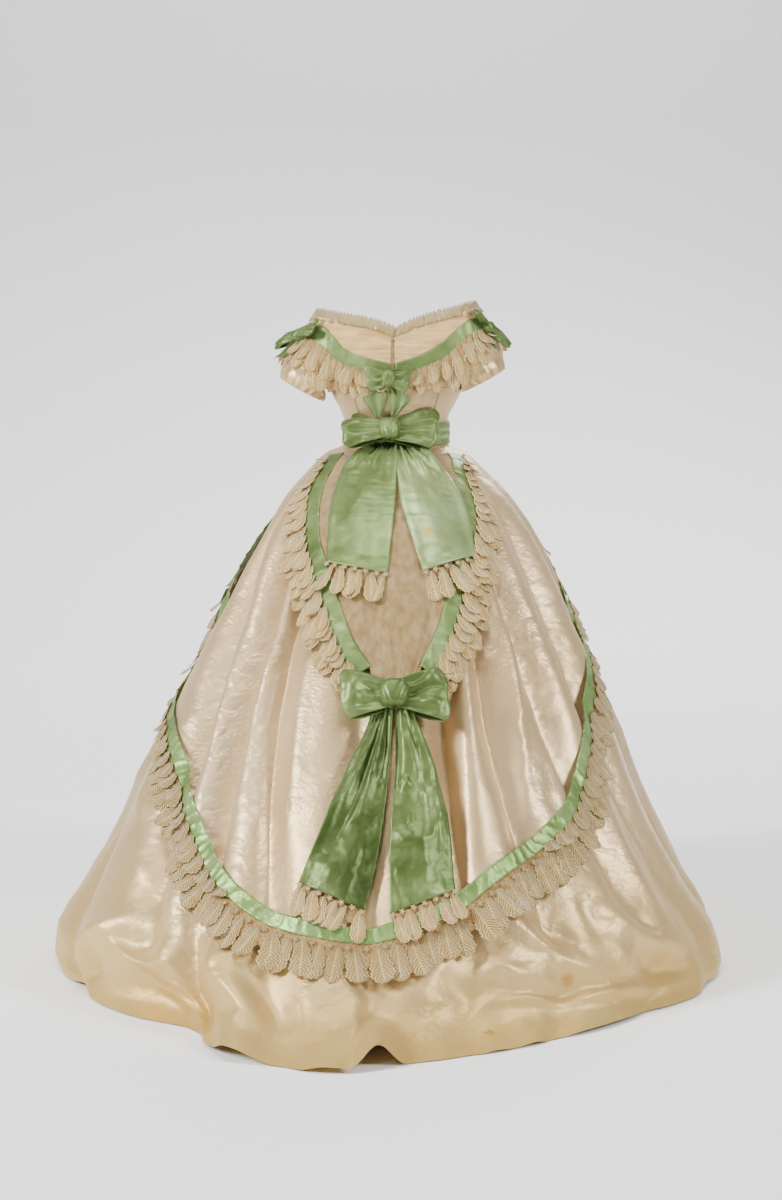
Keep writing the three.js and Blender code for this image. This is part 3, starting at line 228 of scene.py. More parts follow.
# Creases drawn on the skirt: height (a groove where it is negative), reach towards +angle and
# towards -angle of a line that runs down, in millimetres, and the line's angles and drops.
CREASES = [
    (-17, 150, 150, [(92, 700), (92, 800), (92, 870), (92, 980)]),
    (-9, 150, 150, [(-88, 620), (-88, 740), (-88, 860), (-90, 940)]),
    (8, 24, 16, [(58, 360), (52, 480), (47, 600), (43, 740)]),
    (-6, 22, 22, [(36, 290), (28, 344), (24, 400)]),
    (9, 30, 16, [(68, 640), (65.9, 713), (60.2, 740)]),
    (10, 12, 44, [(-18.5, 330), (-19.3, 482), (-18.5, 630), (-18.1, 790), (-17, 860)]),
    (8, 18, 14, [(-36, 250), (-37.4, 315), (-36.9, 418), (-34.7, 530), (-33.3, 640), (-33, 710)]),
    (6, 24, 30, [(-30, 330), (-30, 440), (-30, 560)]),
    (7, 34, 34, [(-52, 330), (-52, 470), (-55, 640)]),
    (-6, 20, 14, [(-40, 560), (-40, 660), (-41, 720)]),
    (5, 20, 20, [(-56, 640), (-57.4, 751), (-58, 843), (-63, 960)]),
    (-5, 16, 26, [(-60, 700), (-61, 800), (-66, 930)]),
    (7, 24, 18, [(26, 330), (25, 450), (22, 600), (19, 740)]),
    (5, 16, 30, [(31, 560), (28, 660), (25, 760)]),
    (-5, 12, 16, [(2, 520), (3, 640), (4, 760)]),
    (6, 30, 20, [(-9, 540), (-9, 660), (-9, 800)]),
    (18, 12, 34, [(-22.5, 838), (-24.5, 862), (-28, 896), (-32, 920), (-37, 956), (-45.5, 1012)]),
    (-13, 20, 22, [(-28, 848), (-32.5, 886), (-37, 920)]),
    (-10, 8, 10, [(-40.5, 836), (-41.5, 876), (-42.5, 922)]),
    (20, 22, 38, [(-43, 858), (-50, 908), (-55.5, 948), (-64.5, 984)]),
    (-17, 28, 28, [(-49, 950), (-56.5, 988), (-64.5, 1010)]),
    (-10, 16, 16, [(-53.5, 893), (-57.5, 934)]),
    (-12, 15, 15, [(-26, 978), (-32.5, 1000), (-39, 1010)]),
    (11, 14, 26, [(-18.5, 920), (-23, 940), (-27.5, 974)]),
    (-8, 18, 18, [(-20, 952), (-23.5, 972), (-27, 992)]),
    (9, 7, 18, [(-23, 986), (-26.5, 996), (-35.5, 1020), (-47, 1026), (-57.5, 1036), (-66, 1030)]),
    (-6, 7, 9, [(-34.5, 878), (-37, 908), (-39, 950)]),
    (6, 7, 10, [(-44.5, 908), (-46, 952), (-49, 994)]),
    (8, 8, 14, [(-29, 926), (-33, 946), (-39, 976)]),
    (4.7, 9, 12, [(-8, 978), (-14, 984), (-25, 997), (-39, 1012), (-53, 1022), (-72, 1037)]),
    (24, 22, 32, [(70, 1036), (64, 988), (59, 948), (55.5, 924), (51, 900), (44, 880)]),
    (-15, 20, 26, [(55, 938), (49, 930), (43, 908), (37.5, 894)]),
    (12, 9, 14, [(57, 922), (51, 946), (47.5, 961), (43, 961), (37, 940)]),
    (-16, 16, 20, [(66, 1034), (60, 1006), (56, 972)]),
    (-44, 44, 22, [(37, 860), (33.5, 930), (32.5, 966), (31, 990), (29.5, 1012), (29, 1050)]),
    (34, 26, 50, [
        (29, 860), (28, 930), (26, 960), (21.5, 986), (19, 1010), (21, 1038), (27, 1058), (38, 1110),
    ]),
    (-14, 22, 26, [(22, 924), (19, 954), (14.5, 996), (12.5, 1030)]),
    (13, 30, 34, [(10, 916), (8, 988), (6, 1042), (5, 1100)]),
    (8, 10, 14, [(46, 1002), (40, 1016), (33, 1046)]),
    (7, 9, 9, [(42, 980), (37, 990), (32, 1010)]),
    (20, 44, 12, [(4, 925), (3, 951), (0.6, 975), (0.9, 1026), (2.7, 1058), (4, 1110)]),
    (12, 40, 30, [(-5, 940), (-9, 970), (-12, 1000)]),
    (-12, 26, 32, [(-12, 935), (-16, 968), (-19, 1005)]),
    (8.1, 30, 30, [(-30, 1030), (-46, 1036), (-60, 1040)]),
    (8, 26, 40, [(96, 700), (94, 820), (90, 960)]),
    (-8, 24, 24, [(88, 560), (86, 700), (82, 860)]),
    (9, 40, 18, [(112, 500), (114, 700), (113, 900)]),
    (10, 20, 44, [(142, 420), (142, 640), (140, 900)]),
    (-7, 20, 26, [(150, 600), (150, 760), (150, 960)]),
    (8, 40, 20, [(174, 380), (176, 620), (177, 900)]),
    (9, 24, 40, [(-92, 480), (-95, 700), (-98, 900)]),
    (-8, 26, 20, [(-75, 520), (-77, 700), (-80, 900)]),
    (9, 22, 44, [(-116, 460), (-118, 700), (-119, 940)]),
    (9, 44, 20, [(-144, 400), (-145, 640), (-146, 920)]),
]

PANEL_CROWN = 8.0
# A millimetre of drop is this much of cloth on the skirt's slope.
DROP_LENGTH = 1.12
CRISP_REACH = 13


def beside_line(angle, drop, scale, line):
    """Signed distances from a line on the skirt, and how far along it the nearest place is."""
    nearest, along = np.full(angle.shape, 1e9), np.zeros(angle.shape)
    for i, ((start, top), (end, foot)) in enumerate(zip(line, line[1:])):
        x, y = wrapped(angle - start) * scale, (drop - top) * DROP_LENGTH
        dx, dy = (end - start) * scale, (foot - top) * DROP_LENGTH
        share = np.clip((x * dx + y * dy) / (dx ** 2 + dy ** 2), 0, 1)
        away = np.hypot(x - share * dx, y - share * dy)
        closer = away < np.abs(nearest)
        side = np.where(x * dy - y * dx < 0, -1.0, 1.0)
        nearest = np.where(closer, away * side, nearest)
        along = np.where(closer, (i + share) / (len(line) - 1), along)
    return nearest, along


def crease_height(crease, angle, drop, scale):
    """The height of one drawn crease beside its line, which tapers towards both ends."""
    height, plus, minus, line = crease
    away, along = beside_line(angle, drop, scale, line)
    reach = np.where(away > 0, plus, minus)
    taper = np.sin(math.pi * np.clip(along, 0, 1)) ** 0.7
    return height * taper * np.exp(-np.abs(away / reach) ** np.where(reach < CRISP_REACH, 1.4, 1.9))


def add_creases(relief, angle, drop, scale):
    for crease in CREASES:
        angles, drops = np.array(crease[3], float).T
        margin = 3 * max(crease[1:3])
        near = (drop > drops.min() - margin) & (drop < drops.max() + margin)
        off = np.abs(wrapped(angle - (angles.min() + angles.max()) / 2)) - np.ptp(angles) / 2
        near &= off * scale < margin
        relief[near] += crease_height(crease, angle[near], drop[near], scale[near])


def drawn(creases, x, y):
    """The height of creases drawn on a flat piece of cloth, in millimetres."""
    x, y = np.broadcast_arrays(np.asarray(x, float), np.asarray(y, float))
    return sum((crease_height(crease, x, y, 1.0) for crease in creases), np.zeros(x.shape))


def skirt_relief(angle, drop):
    """How far the pleated skirt lies from its smooth form, along the normal."""
    angle, drop = np.broadcast_arrays(np.asarray(angle, float), np.asarray(drop, float))
    scale = np.linalg.norm(skirt_frame(angle, drop)[0], axis=-1)
    away = wrapped(angle[..., None] - valley_angles(drop)) * scale[..., None]
    narrow = mix(0.45, 1.0, smoothstep(drop, 40, 420)) * mix(1.0, 2.0, smoothstep(drop, 800, 1000))
    flank = np.where(away < 0, VALLEYS[:, 6], VALLEYS[:, 7]) * narrow[..., None]
    roundness = mix(1.45, 2.0, smoothstep(drop, 700, 950))[..., None]
    groove = np.exp(-np.abs(away / (1.25 * flank)) ** roundness)
    relief = -(valley_depths(drop) * groove).sum(axis=-1)
    nearest = (np.maximum(np.abs(away), 1.0) ** -4.0).sum(axis=-1) ** -0.25
    relief = relief + PANEL_CROWN * smoothstep(drop, 20, 160) * smoothstep(nearest, 0, 70) - 3
    add_creases(relief, angle, drop, scale)
    return relief


# Where a trimming lies, the skirt's grooves are bridged: the highest relief within BRIDGE mm to
# each side, smoothed.
DRAPE_DEGREES = 0.5
DRAPE_DROP = 5
BRIDGE = 34
BRIDGE_CELLS = 16
SMOOTHINGS = 14


def make_drape():
    drops = np.arange(0, FLOOR_DROP + DRAPE_DROP, DRAPE_DROP)
    angle, drop = np.meshgrid(np.arange(-180, 180, DRAPE_DEGREES), drops)
    relief = skirt_relief(angle, drop)
    cell = np.linalg.norm(skirt_frame(angle, drop)[0], axis=-1) * DRAPE_DEGREES
    high = relief.copy()
    for shift in range(1, BRIDGE_CELLS + 1):
        for way in (-shift, shift):
            high = np.where(cell * shift <= BRIDGE, np.maximum(high, np.roll(relief, way, axis=1)), high)
    for _ in range(SMOOTHINGS):
        high = (np.roll(high, 1, axis=1) + 2 * high + np.roll(high, -1, axis=1)) / 4
        padded = np.pad(high, ((1, 1), (0, 0)), mode="edge")
        high = (padded[:-2] + 2 * padded[1:-1] + padded[2:]) / 4
    return np.maximum(high, relief)


DRAPE = make_drape()


def drape_height(angle, drop):
    column = ((np.asarray(angle, float) + 180) % 360) / DRAPE_DEGREES
    row = np.clip(np.asarray(drop, float) / DRAPE_DROP, 0, len(DRAPE) - 1.001)
    left, top = np.floor(column).astype(int), np.floor(row).astype(int)
    across, down = column - left, row - top
    left, right = left % DRAPE.shape[1], (left + 1) % DRAPE.shape[1]
    upper = mix(DRAPE[top, left], DRAPE[top, right], across)
    lower = mix(DRAPE[top + 1, left], DRAPE[top + 1, right], across)
    return mix(upper, lower, down)


def above_skirt(angle, drop, height):
    """Points at a height over the draped skirt."""
    lift = drape_height(angle, drop) + height
    return skirt_point(angle, drop) + skirt_frame(angle, drop)[2] * lift[..., None]


# ---------- Meshes ----------


def add_object(name, data):
    thing = bpy.data.objects.new(name, data)
    bpy.context.scene.collection.objects.link(thing)
    return thing




def grid_normals(points, closed):
    wide = np.concatenate([points[:, -1:], points, points[:, :1]], axis=1) if closed else points
    across = np.gradient(wide, axis=1)
    down = np.gradient(wide, axis=0)
    normals = unit(np.cross(across, down))
    return normals[:, 1:-1] if closed else normals


def grid_faces(rows, columns, closed, start=0, flip=False):
    row = np.arange(rows - 1)[:, None] * columns + start
    column = np.arange(columns if closed else columns - 1)[None, :]
    after = (column + 1) % columns
    corners = [row + column, row + after, row + columns + after, row + columns + column]
    faces = np.stack(corners, axis=-1).reshape(-1, 4)
    return faces[:, ::-1] if flip else faces


def rim_faces(loop, count):
    """Faces from a ring of the front sheet to the same ring of the back sheet."""
    after = np.roll(loop, -1)
    return np.stack([loop, loop + count, after + count, after], axis=-1)


class Cloth:
    """Thin shells gathered into one mesh, in millimetres, with their own UVs and materials."""

    def __init__(self):
        self.points, self.faces, self.uvs, self.slots, self.smooth, self.normals = ([] for _ in range(6))
        self.count = 0

    def add(self, points, wall, uv, slot=0, closed=False, flip=False, normals=None):
        """A grid of points in rows becomes a shell whose front lies on it.

        The front is on the right-hand side of columns turning into rows; flip turns it over.
        Normals are given for a piece that must look whole with the one beside it.
        """
        if flip:
            points, uv = points[:, ::-1], uv[:, ::-1]
        rows, columns = points.shape[:2]
        size = rows * columns
        back = points - grid_normals(points, closed) * wall
        index = np.arange(size).reshape(rows, columns)
        rims = [index[0], index[-1][::-1]]
        if not closed:
            rims = [np.concatenate([index[0, :-1], index[:-1, -1], index[-1, :0:-1], index[:0:-1, 0]])]
        sides = [grid_faces(rows, columns, closed), grid_faces(rows, columns, closed, size, flip=True)]
        faces = np.concatenate(sides + [rim_faces(rim, size) for rim in rims])
        self.smooth.append(np.arange(len(faces)) < 2 * len(sides[0]))
        self.points += [points.reshape(-1, 3), back.reshape(-1, 3)]
        self.uvs += [uv.reshape(-1, 2)] * 2
        self.faces.append(faces + self.count)
        self.slots.append(np.full(len(faces), slot, np.int32))
        if normals is not None:
            self.normals += [normals.reshape(-1, 3), -normals.reshape(-1, 3)]
        self.count += 2 * size

    def make(self, name, materials, kind, node):
        """The shells become a piece of the scene that replaces a node of the part."""
        points, faces, uvs = (np.concatenate(parts) for parts in (self.points, self.faces, self.uvs))
        mesh = bpy.data.meshes.new(name)
        mesh.from_pydata((points * MM).tolist(), [], faces.tolist())
        mesh.uv_layers.new(name="cloth").data.foreach_set("uv", uvs[faces.reshape(-1)].reshape(-1))
        mesh.polygons.foreach_set("material_index", np.concatenate(self.slots))
        mesh.polygons.foreach_set("use_smooth", np.concatenate(self.smooth))
        for material in materials:
            mesh.materials.append(material)
        mesh.update()
        if self.normals:
            mesh.normals_split_custom_set_from_vertices(np.concatenate(self.normals).tolist())
        piece = add_object(name, mesh)
        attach(piece, "root")
        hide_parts(node)


def sheet_uv(points):
    """The way along a grid's rows and down its columns, in metres."""
    across, down = (
        np.linalg.norm(np.diff(points, axis=axis), axis=-1).mean(axis=1 - axis) for axis in (1, 0)
    )
    ways = [np.concatenate([[0], np.cumsum(steps)]) for steps in (across, down)]
    return np.stack(np.meshgrid(*ways), axis=-1) * MM


def make_sheet(name, node, points, wall, material, kind, uv=None, **how):
    """A piece that is one shell of one material."""
    cloth = Cloth()
    cloth.add(points, wall, sheet_uv(points) if uv is None else uv, **how)
    cloth.make(name, [material], kind, node)


# ---------- Materials ----------


class Finish:
    """A node material built up step by step."""

    def __init__(self, name, roughness, sheen, specular, metallic=0.0):
        self.material = bpy.data.materials.new(name)
        self.material.use_nodes = True
        self.nodes = self.material.node_tree.nodes
        self.links = self.material.node_tree.links
        self.shader = self.nodes["Principled BSDF"]
        for socket, value in (
            ("Roughness", roughness), ("Sheen Weight", sheen), ("Sheen Roughness", 0.4),
            ("Specular IOR Level", specular), ("Metallic", metallic),
        ):
            self.shader.inputs[socket].default_value = value
        self.place = self.nodes.new("ShaderNodeTexCoord").outputs
        self.height = None

    def set(self, socket, value):
        if isinstance(value, bpy.types.NodeSocket):
            self.links.new(value, socket)
        else:
            socket.default_value = value

    def node(self, kind, inputs, output=0, **settings):
        """An output of a new node, with its inputs linked or set."""
        node = self.nodes.new("ShaderNode" + kind)
        for name, value in settings.items():
            setattr(node, name, value)
        for socket, value in inputs.items():
            self.set(node.inputs[socket], value)
        return node.outputs[output]

    def math(self, operation, a, b, clamp=False):
        return self.node("Math", {0: a, 1: b}, operation=operation, use_clamp=clamp)

    def scale_and_add(self, value, scale, addend):
        return self.math("ADD", self.math("MULTIPLY", value, scale), addend)

    def axes(self, where):
        return self.node("SeparateXYZ", {0: self.place[where]}).node.outputs

    def scaled(self, where, stretch):
        return self.node("Mapping", {"Vector": self.place[where], "Scale": stretch})

    def noise(self, scale, detail=3.0, roughness=0.55, stretch=(1, 1, 1)):
        inputs = {"Scale": scale, "Detail": detail, "Roughness": roughness}
        return self.node("TexNoise", {**inputs, "Vector": self.scaled("Object", stretch)}, "Fac")

    def wave(self, scale, stretch=(1, 1, 1), direction="X"):
        inputs = {"Scale": scale, "Vector": self.scaled("UV", stretch)}
        return self.node("TexWave", inputs, "Fac", wave_type="BANDS", bands_direction=direction)

    def ramp(self, value, *stops):
        node = self.nodes.new("ShaderNodeValToRGB")
        elements = node.color_ramp.elements
        while len(elements) < len(stops):
            elements.new(0.5)
        for element, (position, colour) in zip(elements, stops):
            element.position = position
            element.color = (*colour, 1)
        self.set(node.inputs["Fac"], value)
        return node.outputs["Color"]

    def blend(self, share, a, b, kind="MIX"):
        a, b = ((*value, 1) if isinstance(value, tuple) else value for value in (a, b))
        return self.node("Mix", {"Factor": share, 6: a, 7: b}, 2, data_type="RGBA", blend_type=kind)

    def creases(self, scale, stretch, share=0.5):
        """Sharp valleys between soft crowns, in patches."""
        folds = self.math("ABSOLUTE", self.scale_and_add(self.noise(scale, 2, 0.45, stretch), 2.0, -1.0), 0.0)
        patches = self.scale_and_add(self.noise(scale / 7, 2), 5.0, -2.5 + share)
        return self.math("MULTIPLY", folds, self.math("MULTIPLY", patches, 1.0, clamp=True))

    def stain(self, spot, size):
        """How strongly a small spot at a place is stained."""
        away = self.node("VectorMath", {0: self.place["Object"], 1: spot}, "Value", operation="DISTANCE")
        ragged = self.math("ADD", away, self.scale_and_add(self.noise(130, 3), size, -size / 2))
        return self.math("MULTIPLY", self.scale_and_add(ragged, -2 / size, 2.0), 0.8, clamp=True)

    def bump(self, height, distance, strength):
        inputs = {"Strength": strength, "Distance": distance, "Height": height}
        if self.height is not None:
            inputs["Normal"] = self.height
        self.height = self.node("Bump", inputs)

    def done(self, colour, alpha=None):
        for socket, value in (("Base Color", colour), ("Normal", self.height), ("Alpha", alpha)):
            if value is not None:
                self.set(self.shader.inputs[socket], value)
        return self.material


def shaded(shade, *colours):
    """Colours darkened by one share, or by a share for each primary."""
    return [tuple(np.multiply(colour, shade)) for colour in colours]


SILK_STAIN = tuple(above_skirt(np.array(-13.0), np.array(176.0), 12.0) * MM)


def satin_finish(name, shade):
    satin = Finish(name, 0.42, sheen=0.1, specular=0.4, metallic=0.5)
    colours = shaded(shade, (0.58, 0.40, 0.195), (0.67, 0.485, 0.255), (0.74, 0.565, 0.335))
    colour = satin.ramp(satin.noise(2.2, detail=4), *zip((0.3, 0.5, 0.7), colours))
    # The lower skirt is darker and yellower towards the floor, in uneven patches, and rougher there.
    low = satin.scale_and_add(satin.axes("Object")["Z"], -3.5, -2.72)
    uneven = satin.scale_and_add(satin.noise(5, detail=5), 0.9, -0.45)
    lower_tint = satin.math("ADD", low, uneven, clamp=True)
    colour = satin.blend(satin.math("MULTIPLY", lower_tint, 0.85), colour, (0.60, 0.41, 0.112))
    for spot, size in STAINS:
        colour = satin.blend(satin.stain(spot, size), colour, (0.50, 0.27, 0.07))
    streaks = satin.noise(14, detail=6, stretch=(1, 1, 0.25))
    streaks = satin.ramp(streaks, (0.35, (0.6, 0.5, 0.4)), (0.65, (1, 1, 1)))
    colour = satin.blend(0.14, colour, streaks, "MULTIPLY")
    satin.bump(satin.noise(9, detail=5, roughness=0.6, stretch=(1, 1, 0.7)), 0.006, 0.5)
    satin.bump(satin.creases(13, (1.0, 0.8, 1.7)), 0.006, 0.7)
    satin.bump(satin.creases(46, (1.1, 0.8, 1.8), 0.6), 0.0016, 0.8)
    satin.set(satin.shader.inputs["Roughness"], satin.scale_and_add(lower_tint, 0.13, 0.40))
    satin.bump(satin.wave(900), 0.00004, 0.25)
    return satin.done(colour)


def ribbon_finish(name, dark, middle, light):
    silk = Finish(name, 0.40, sheen=0.1, specular=0.4, metallic=0.5)
    colour = silk.ramp(silk.noise(9, detail=4), (0.3, dark), (0.5, middle), (0.7, light))
    colour = silk.blend(silk.stain(SILK_STAIN, 0.016), colour, (0.42, 0.30, 0.06))
    silk.bump(silk.noise(12, detail=3, roughness=0.5, stretch=(0.9, 0.9, 1.3)), 0.008, 0.7)
    silk.bump(silk.creases(19, (1.2, 1.0, 0.9), 0.7), 0.005, 0.8)
    silk.bump(silk.wave(1200, direction="Y"), 0.00005, 0.3)
    return silk.done(colour)


def leaf_finish(name, shade):
    """Corded leaves: a midrib with slanting cords to each side, in the leaf's own share and side."""
    lace = Finish(name, 0.75, sheen=0.45, specular=0.25)
    place = lace.axes("UV")
    share, side = place["X"], lace.math("ABSOLUTE", place["Y"], 0.0)
    slant = lace.math("SUBTRACT", lace.math("MULTIPLY", share, 12.0), lace.math("MULTIPLY", side, 2.8))
    cords = lace.math("MULTIPLY", lace.math("PINGPONG", slant, 0.5), 2.0)
    rib = lace.math("LESS_THAN", side, 0.05)
    border = lace.math("GREATER_THAN", side, 0.93)
    raised = lace.math("MAXIMUM", lace.math("MAXIMUM", cords, rib), border)
    # Between the raised cords the lace is darker brown: painted shade in the recesses, where the lace is also
    # see-through.
    shaded_ground, *colours = shaded(
        shade, (0.50, 0.29, 0.085), (0.90, 0.60, 0.20), (0.99, 0.72, 0.29), (1.0, 0.85, 0.42))
    light = lace.ramp(lace.noise(55, detail=4), *zip((0.3, 0.5, 0.72), colours))
    lace.bump(raised, 0.0022, 1.0)
    lace.bump(lace.noise(600, detail=2), 0.0006, 0.6)
    return lace.done(lace.blend(raised, shaded_ground, light), lace.scale_and_add(raised, 0.35, 0.65))


def net_finish():
    """The see-through net that the leaves are worked on, painted dark brown for the shaded satin seen through
    it.
    """
    net = Finish("lace_net_painted_shade", 0.85, sheen=0.1, specular=0.2)
    threads = [net.wave(60, stretch, direction="DIAGONAL") for stretch in ((1, 1, 1), (1, -1, 1))]
    colour = net.ramp(net.noise(40, detail=4), (0.3, (0.34, 0.19, 0.065)), (0.6, (0.52, 0.33, 0.13)))
    return net.done(colour, net.scale_and_add(net.math("MAXIMUM", *threads), 0.45, 0.25))


def tulle_finish(name, stretch, shade):
    tulle = Finish(name, 0.85, sheen=0.3, specular=0.2)
    colours = shaded(shade, (0.50, 0.32, 0.14), (0.66, 0.46, 0.23), (0.80, 0.62, 0.38))
    colour = tulle.ramp(tulle.noise(60, detail=5, stretch=stretch), *zip((0.3, 0.52, 0.72), colours))
    tulle.bump(tulle.noise(70, detail=4, stretch=stretch), 0.003, 0.7)
    return tulle.done(colour)


# The same green silk in lighter and darker copies: the copies for the bows and bow tails are darker, painted
# shade, the left tail's darkest; the copies for the right streamer and the garland are lighter, painted
# light.
SILK = ribbon_finish("green_silk", (0.10, 0.155, 0.038), (0.18, 0.26, 0.078), (0.29, 0.385, 0.15))
SHADED_BOW_SILK = ribbon_finish("bow_silk_painted_shade", (0.066, 0.106, 0.022), (0.118, 0.176, 0.047), (0.22, 0.30, 0.105))
DEEP_SHADED_SILK = ribbon_finish("silk_painted_deep_shade", (0.036, 0.062, 0.010), (0.072, 0.112, 0.025), (0.15, 0.205, 0.068))
LIT_SILK = ribbon_finish("silk_painted_light", (0.19, 0.26, 0.085), (0.31, 0.41, 0.155), (0.45, 0.55, 0.27))
LIT_GARLAND_SILK = ribbon_finish(
    "garland_silk_painted_light", (0.125, 0.21, 0.048), (0.21, 0.335, 0.093), (0.33, 0.465, 0.175))
LEAF = leaf_finish("golden_lace", 1.0)
# The garland's lace is the golden lace darkened: painted shade, and soiling.
LOW_SHADED_LEAF = leaf_finish("lace_soiled_and_painted_shade", 0.74)
NET = net_finish()
# The tulle panel's tulle is the cream tulle darkened to under half and made yellower: painted shade.
SHADED_TULLE = tulle_finish("cream_tulle_painted_shade", (1, 1, 0.15), (0.47, 0.45, 0.38))
BERTHA_TULLE = tulle_finish("bertha_tulle", (0.3, 0.3, 1.6), (0.98, 0.9, 0.74))

# ---------- The skirt ----------

# A gore runs from the middle of its first panel, between two folds, to the middle of its last.
GORES = [
    ("skirt_side_front_right", 0, 3), ("skirt_side_back_right", 3, 5), ("skirt_back_right", 5, 7),
    ("skirt_back_left", 7, 9), ("skirt_side_back_left", 9, 11), ("skirt_side_front_left", 11, 14),
    ("skirt_front", 14, 16),
]
PANEL_COLUMNS = 28
SKIRT_DROPS = np.concatenate([
    np.linspace(9, 40, 8), np.linspace(46, 300, 34), np.linspace(307, 820, 62),
    np.linspace(826, FLOOR_DROP, 46),
])
# An arch of the hem is this many degrees wide, and rises from this drop.
ARCH_DEGREES = 3.5
ARCH_TOP = 980


def panel_shares(count):
    """Places across a panel, close together near its two folds."""
    even = np.linspace(0, 1, count + 1)
    return even - 0.11 * np.sin(2 * math.pi * even)


def panel_grid(panel, shares):
    """Angles of a panel's columns at every drop."""
    angles = valley_angles(SKIRT_DROPS)
    here = angles[:, panel % len(VALLEYS)]
    width = (angles[:, (panel + 1) % len(VALLEYS)] - here) % 360
    return here[:, None] + width[:, None] * shares[None, :]


def gore_angles(first, last):
    """The angles of a gore's columns, in one row for each drop."""
    shares = panel_shares(PANEL_COLUMNS)
    half = PANEL_COLUMNS // 2
    grids = [panel_grid(first, shares[half:])]
    for panel in range(first + 1, last + 1):
        part = panel_grid(panel, shares[1:half + 1] if panel == last else shares[1:])
        turn = np.round((grids[-1][:, -1:] - part[:, :1]) / 360) * 360
        grids.append(part + turn)
    return np.concatenate(grids, axis=1)


def crumple(points, drop):
    """The uneven dents and sharp little creases of silk satin, in millimetres."""
    warp = np.stack([noise(points, 130, seed) for seed in (11, 12, 13)], axis=-1) * 42
    place = points + warp
    fade = smoothstep(drop, 20, 160)
    patchy = 0.2 + 1.0 * smoothstep(noise(points, 200, 14), -0.25, 0.5)
    broad = 4.6 * noise(place, (130, 130, 300), 1) + 2.4 * noise(place, (70, 70, 140), 2)

    def folds(height, lean, size, seed):
        """Sharp folds, which lean as they run down."""
        leaning = place + place[..., 2:] * (lean, 0, 0)
        return height * (np.abs(noise(leaning, size, seed)) - 0.3)

    fine = folds(4.2, 0, (120, 120, 90), 3) + folds(0.8, 0.35, (20, 20, 8), 6)
    turn = smoothstep(noise(points, 170, 15), -0.2, 0.2)
    for lean, share in ((0.8, turn), (-0.7, 1 - turn)):
        fine = fine + share * (folds(2.2, lean, (58, 58, 30), 4) + folds(1.5, lean, (46, 46, 18), 5))
    return fade * (broad - patchy * fine - 1.5)


HEM_REACH, = curves(HEM_PULL)


def skirt_surface(angle, drop):
    base = skirt_point(angle, drop)
    normal = skirt_frame(angle, drop)[2]
    relief = skirt_relief(angle, drop) + crumple(base, drop)
    points = base + normal * relief[..., None]
    away = wrapped(angle[..., None] - valley_angles(drop))
    arch = (VALLEYS[:, 5] * np.exp(-(away / ARCH_DEGREES) ** 2)).sum(axis=-1)
    lift = arch * smoothstep(drop, ARCH_TOP, FLOOR_DROP)
    points[..., 2] = np.maximum(points[..., 2] + lift, -FLOOR_DROP)
    pull = HEM_REACH(wrapped(angle)) * smoothstep(drop, 900, FLOOR_DROP) ** 1.4
    return points - unit(normal * (1, 1, 0)) * pull[..., None]


def make_gore(name, first, last):
    angle = gore_angles(first, last)
    # A ghost column past each edge gives both gores of a seam the same normals there.
    before, after = 2 * angle[:, :1] - angle[:, 1:2], 2 * angle[:, -1:] - angle[:, -2:-1]
    angle = np.concatenate([before, angle, after], axis=1)
    points = skirt_surface(angle, np.broadcast_to(SKIRT_DROPS[:, None], angle.shape))
    normals = grid_normals(points, False)[:, 1:-1]
    points = points[:, 1:-1]
    for edge, inner in ((0, 1), (-1, -2)):
        points[:, edge] += unit(points[:, inner] - points[:, edge]) * SEAM_GAP / 2
    make_sheet("satin_" + name, name, points, SATIN_WALL, SATIN, "satin", normals=normals)


STAINS = [
    (tuple(skirt_surface(np.array([angle]), np.array([drop]))[0] * MM), size)
    for angle, drop, size in ((-35.0, 972.0, 0.018), (-22.0, 1040.0, 0.012))
]
SATIN = satin_finish("ivory_satin", 1.0)
# The bodice's satin is the ivory satin darkened: painted shade.
SHADED_BODICE_SATIN = satin_finish("bodice_satin_painted_shade", 0.84)
for gore in GORES:
    make_gore(*gore)

# ---------- Trimmings that lie on the skirt ----------

ROUTES = {
    "left_upper": [(56, 34), (51, 83), (43, 138), (36, 191), (28, 244), (21, 305), (15, 368), (8, 420)],
    "right_upper": [
        (-56, 34), (-43, 81), (-37, 136), (-31, 190), (-24, 243), (-20, 296), (-15, 359), (-10, 420),
    ],
    "garland": [
        (128, 96), (114, 220), (99, 380), (84, 509), (62, 604), (44, 711), (31, 799), (16, 857), (2, 874),
        (-13, 836), (-24, 778), (-35, 733), (-44, 689), (-49, 652), (-57, 577), (-68, 492), (-88, 335),
        (-107, 200), (-120, 96),
    ],
}
RUN_STEP = 4
UPPER_WIDTH = 36
GARLAND_WIDTH = 31
TULLE_WALL = 0.6
KNOT_DROP = 468


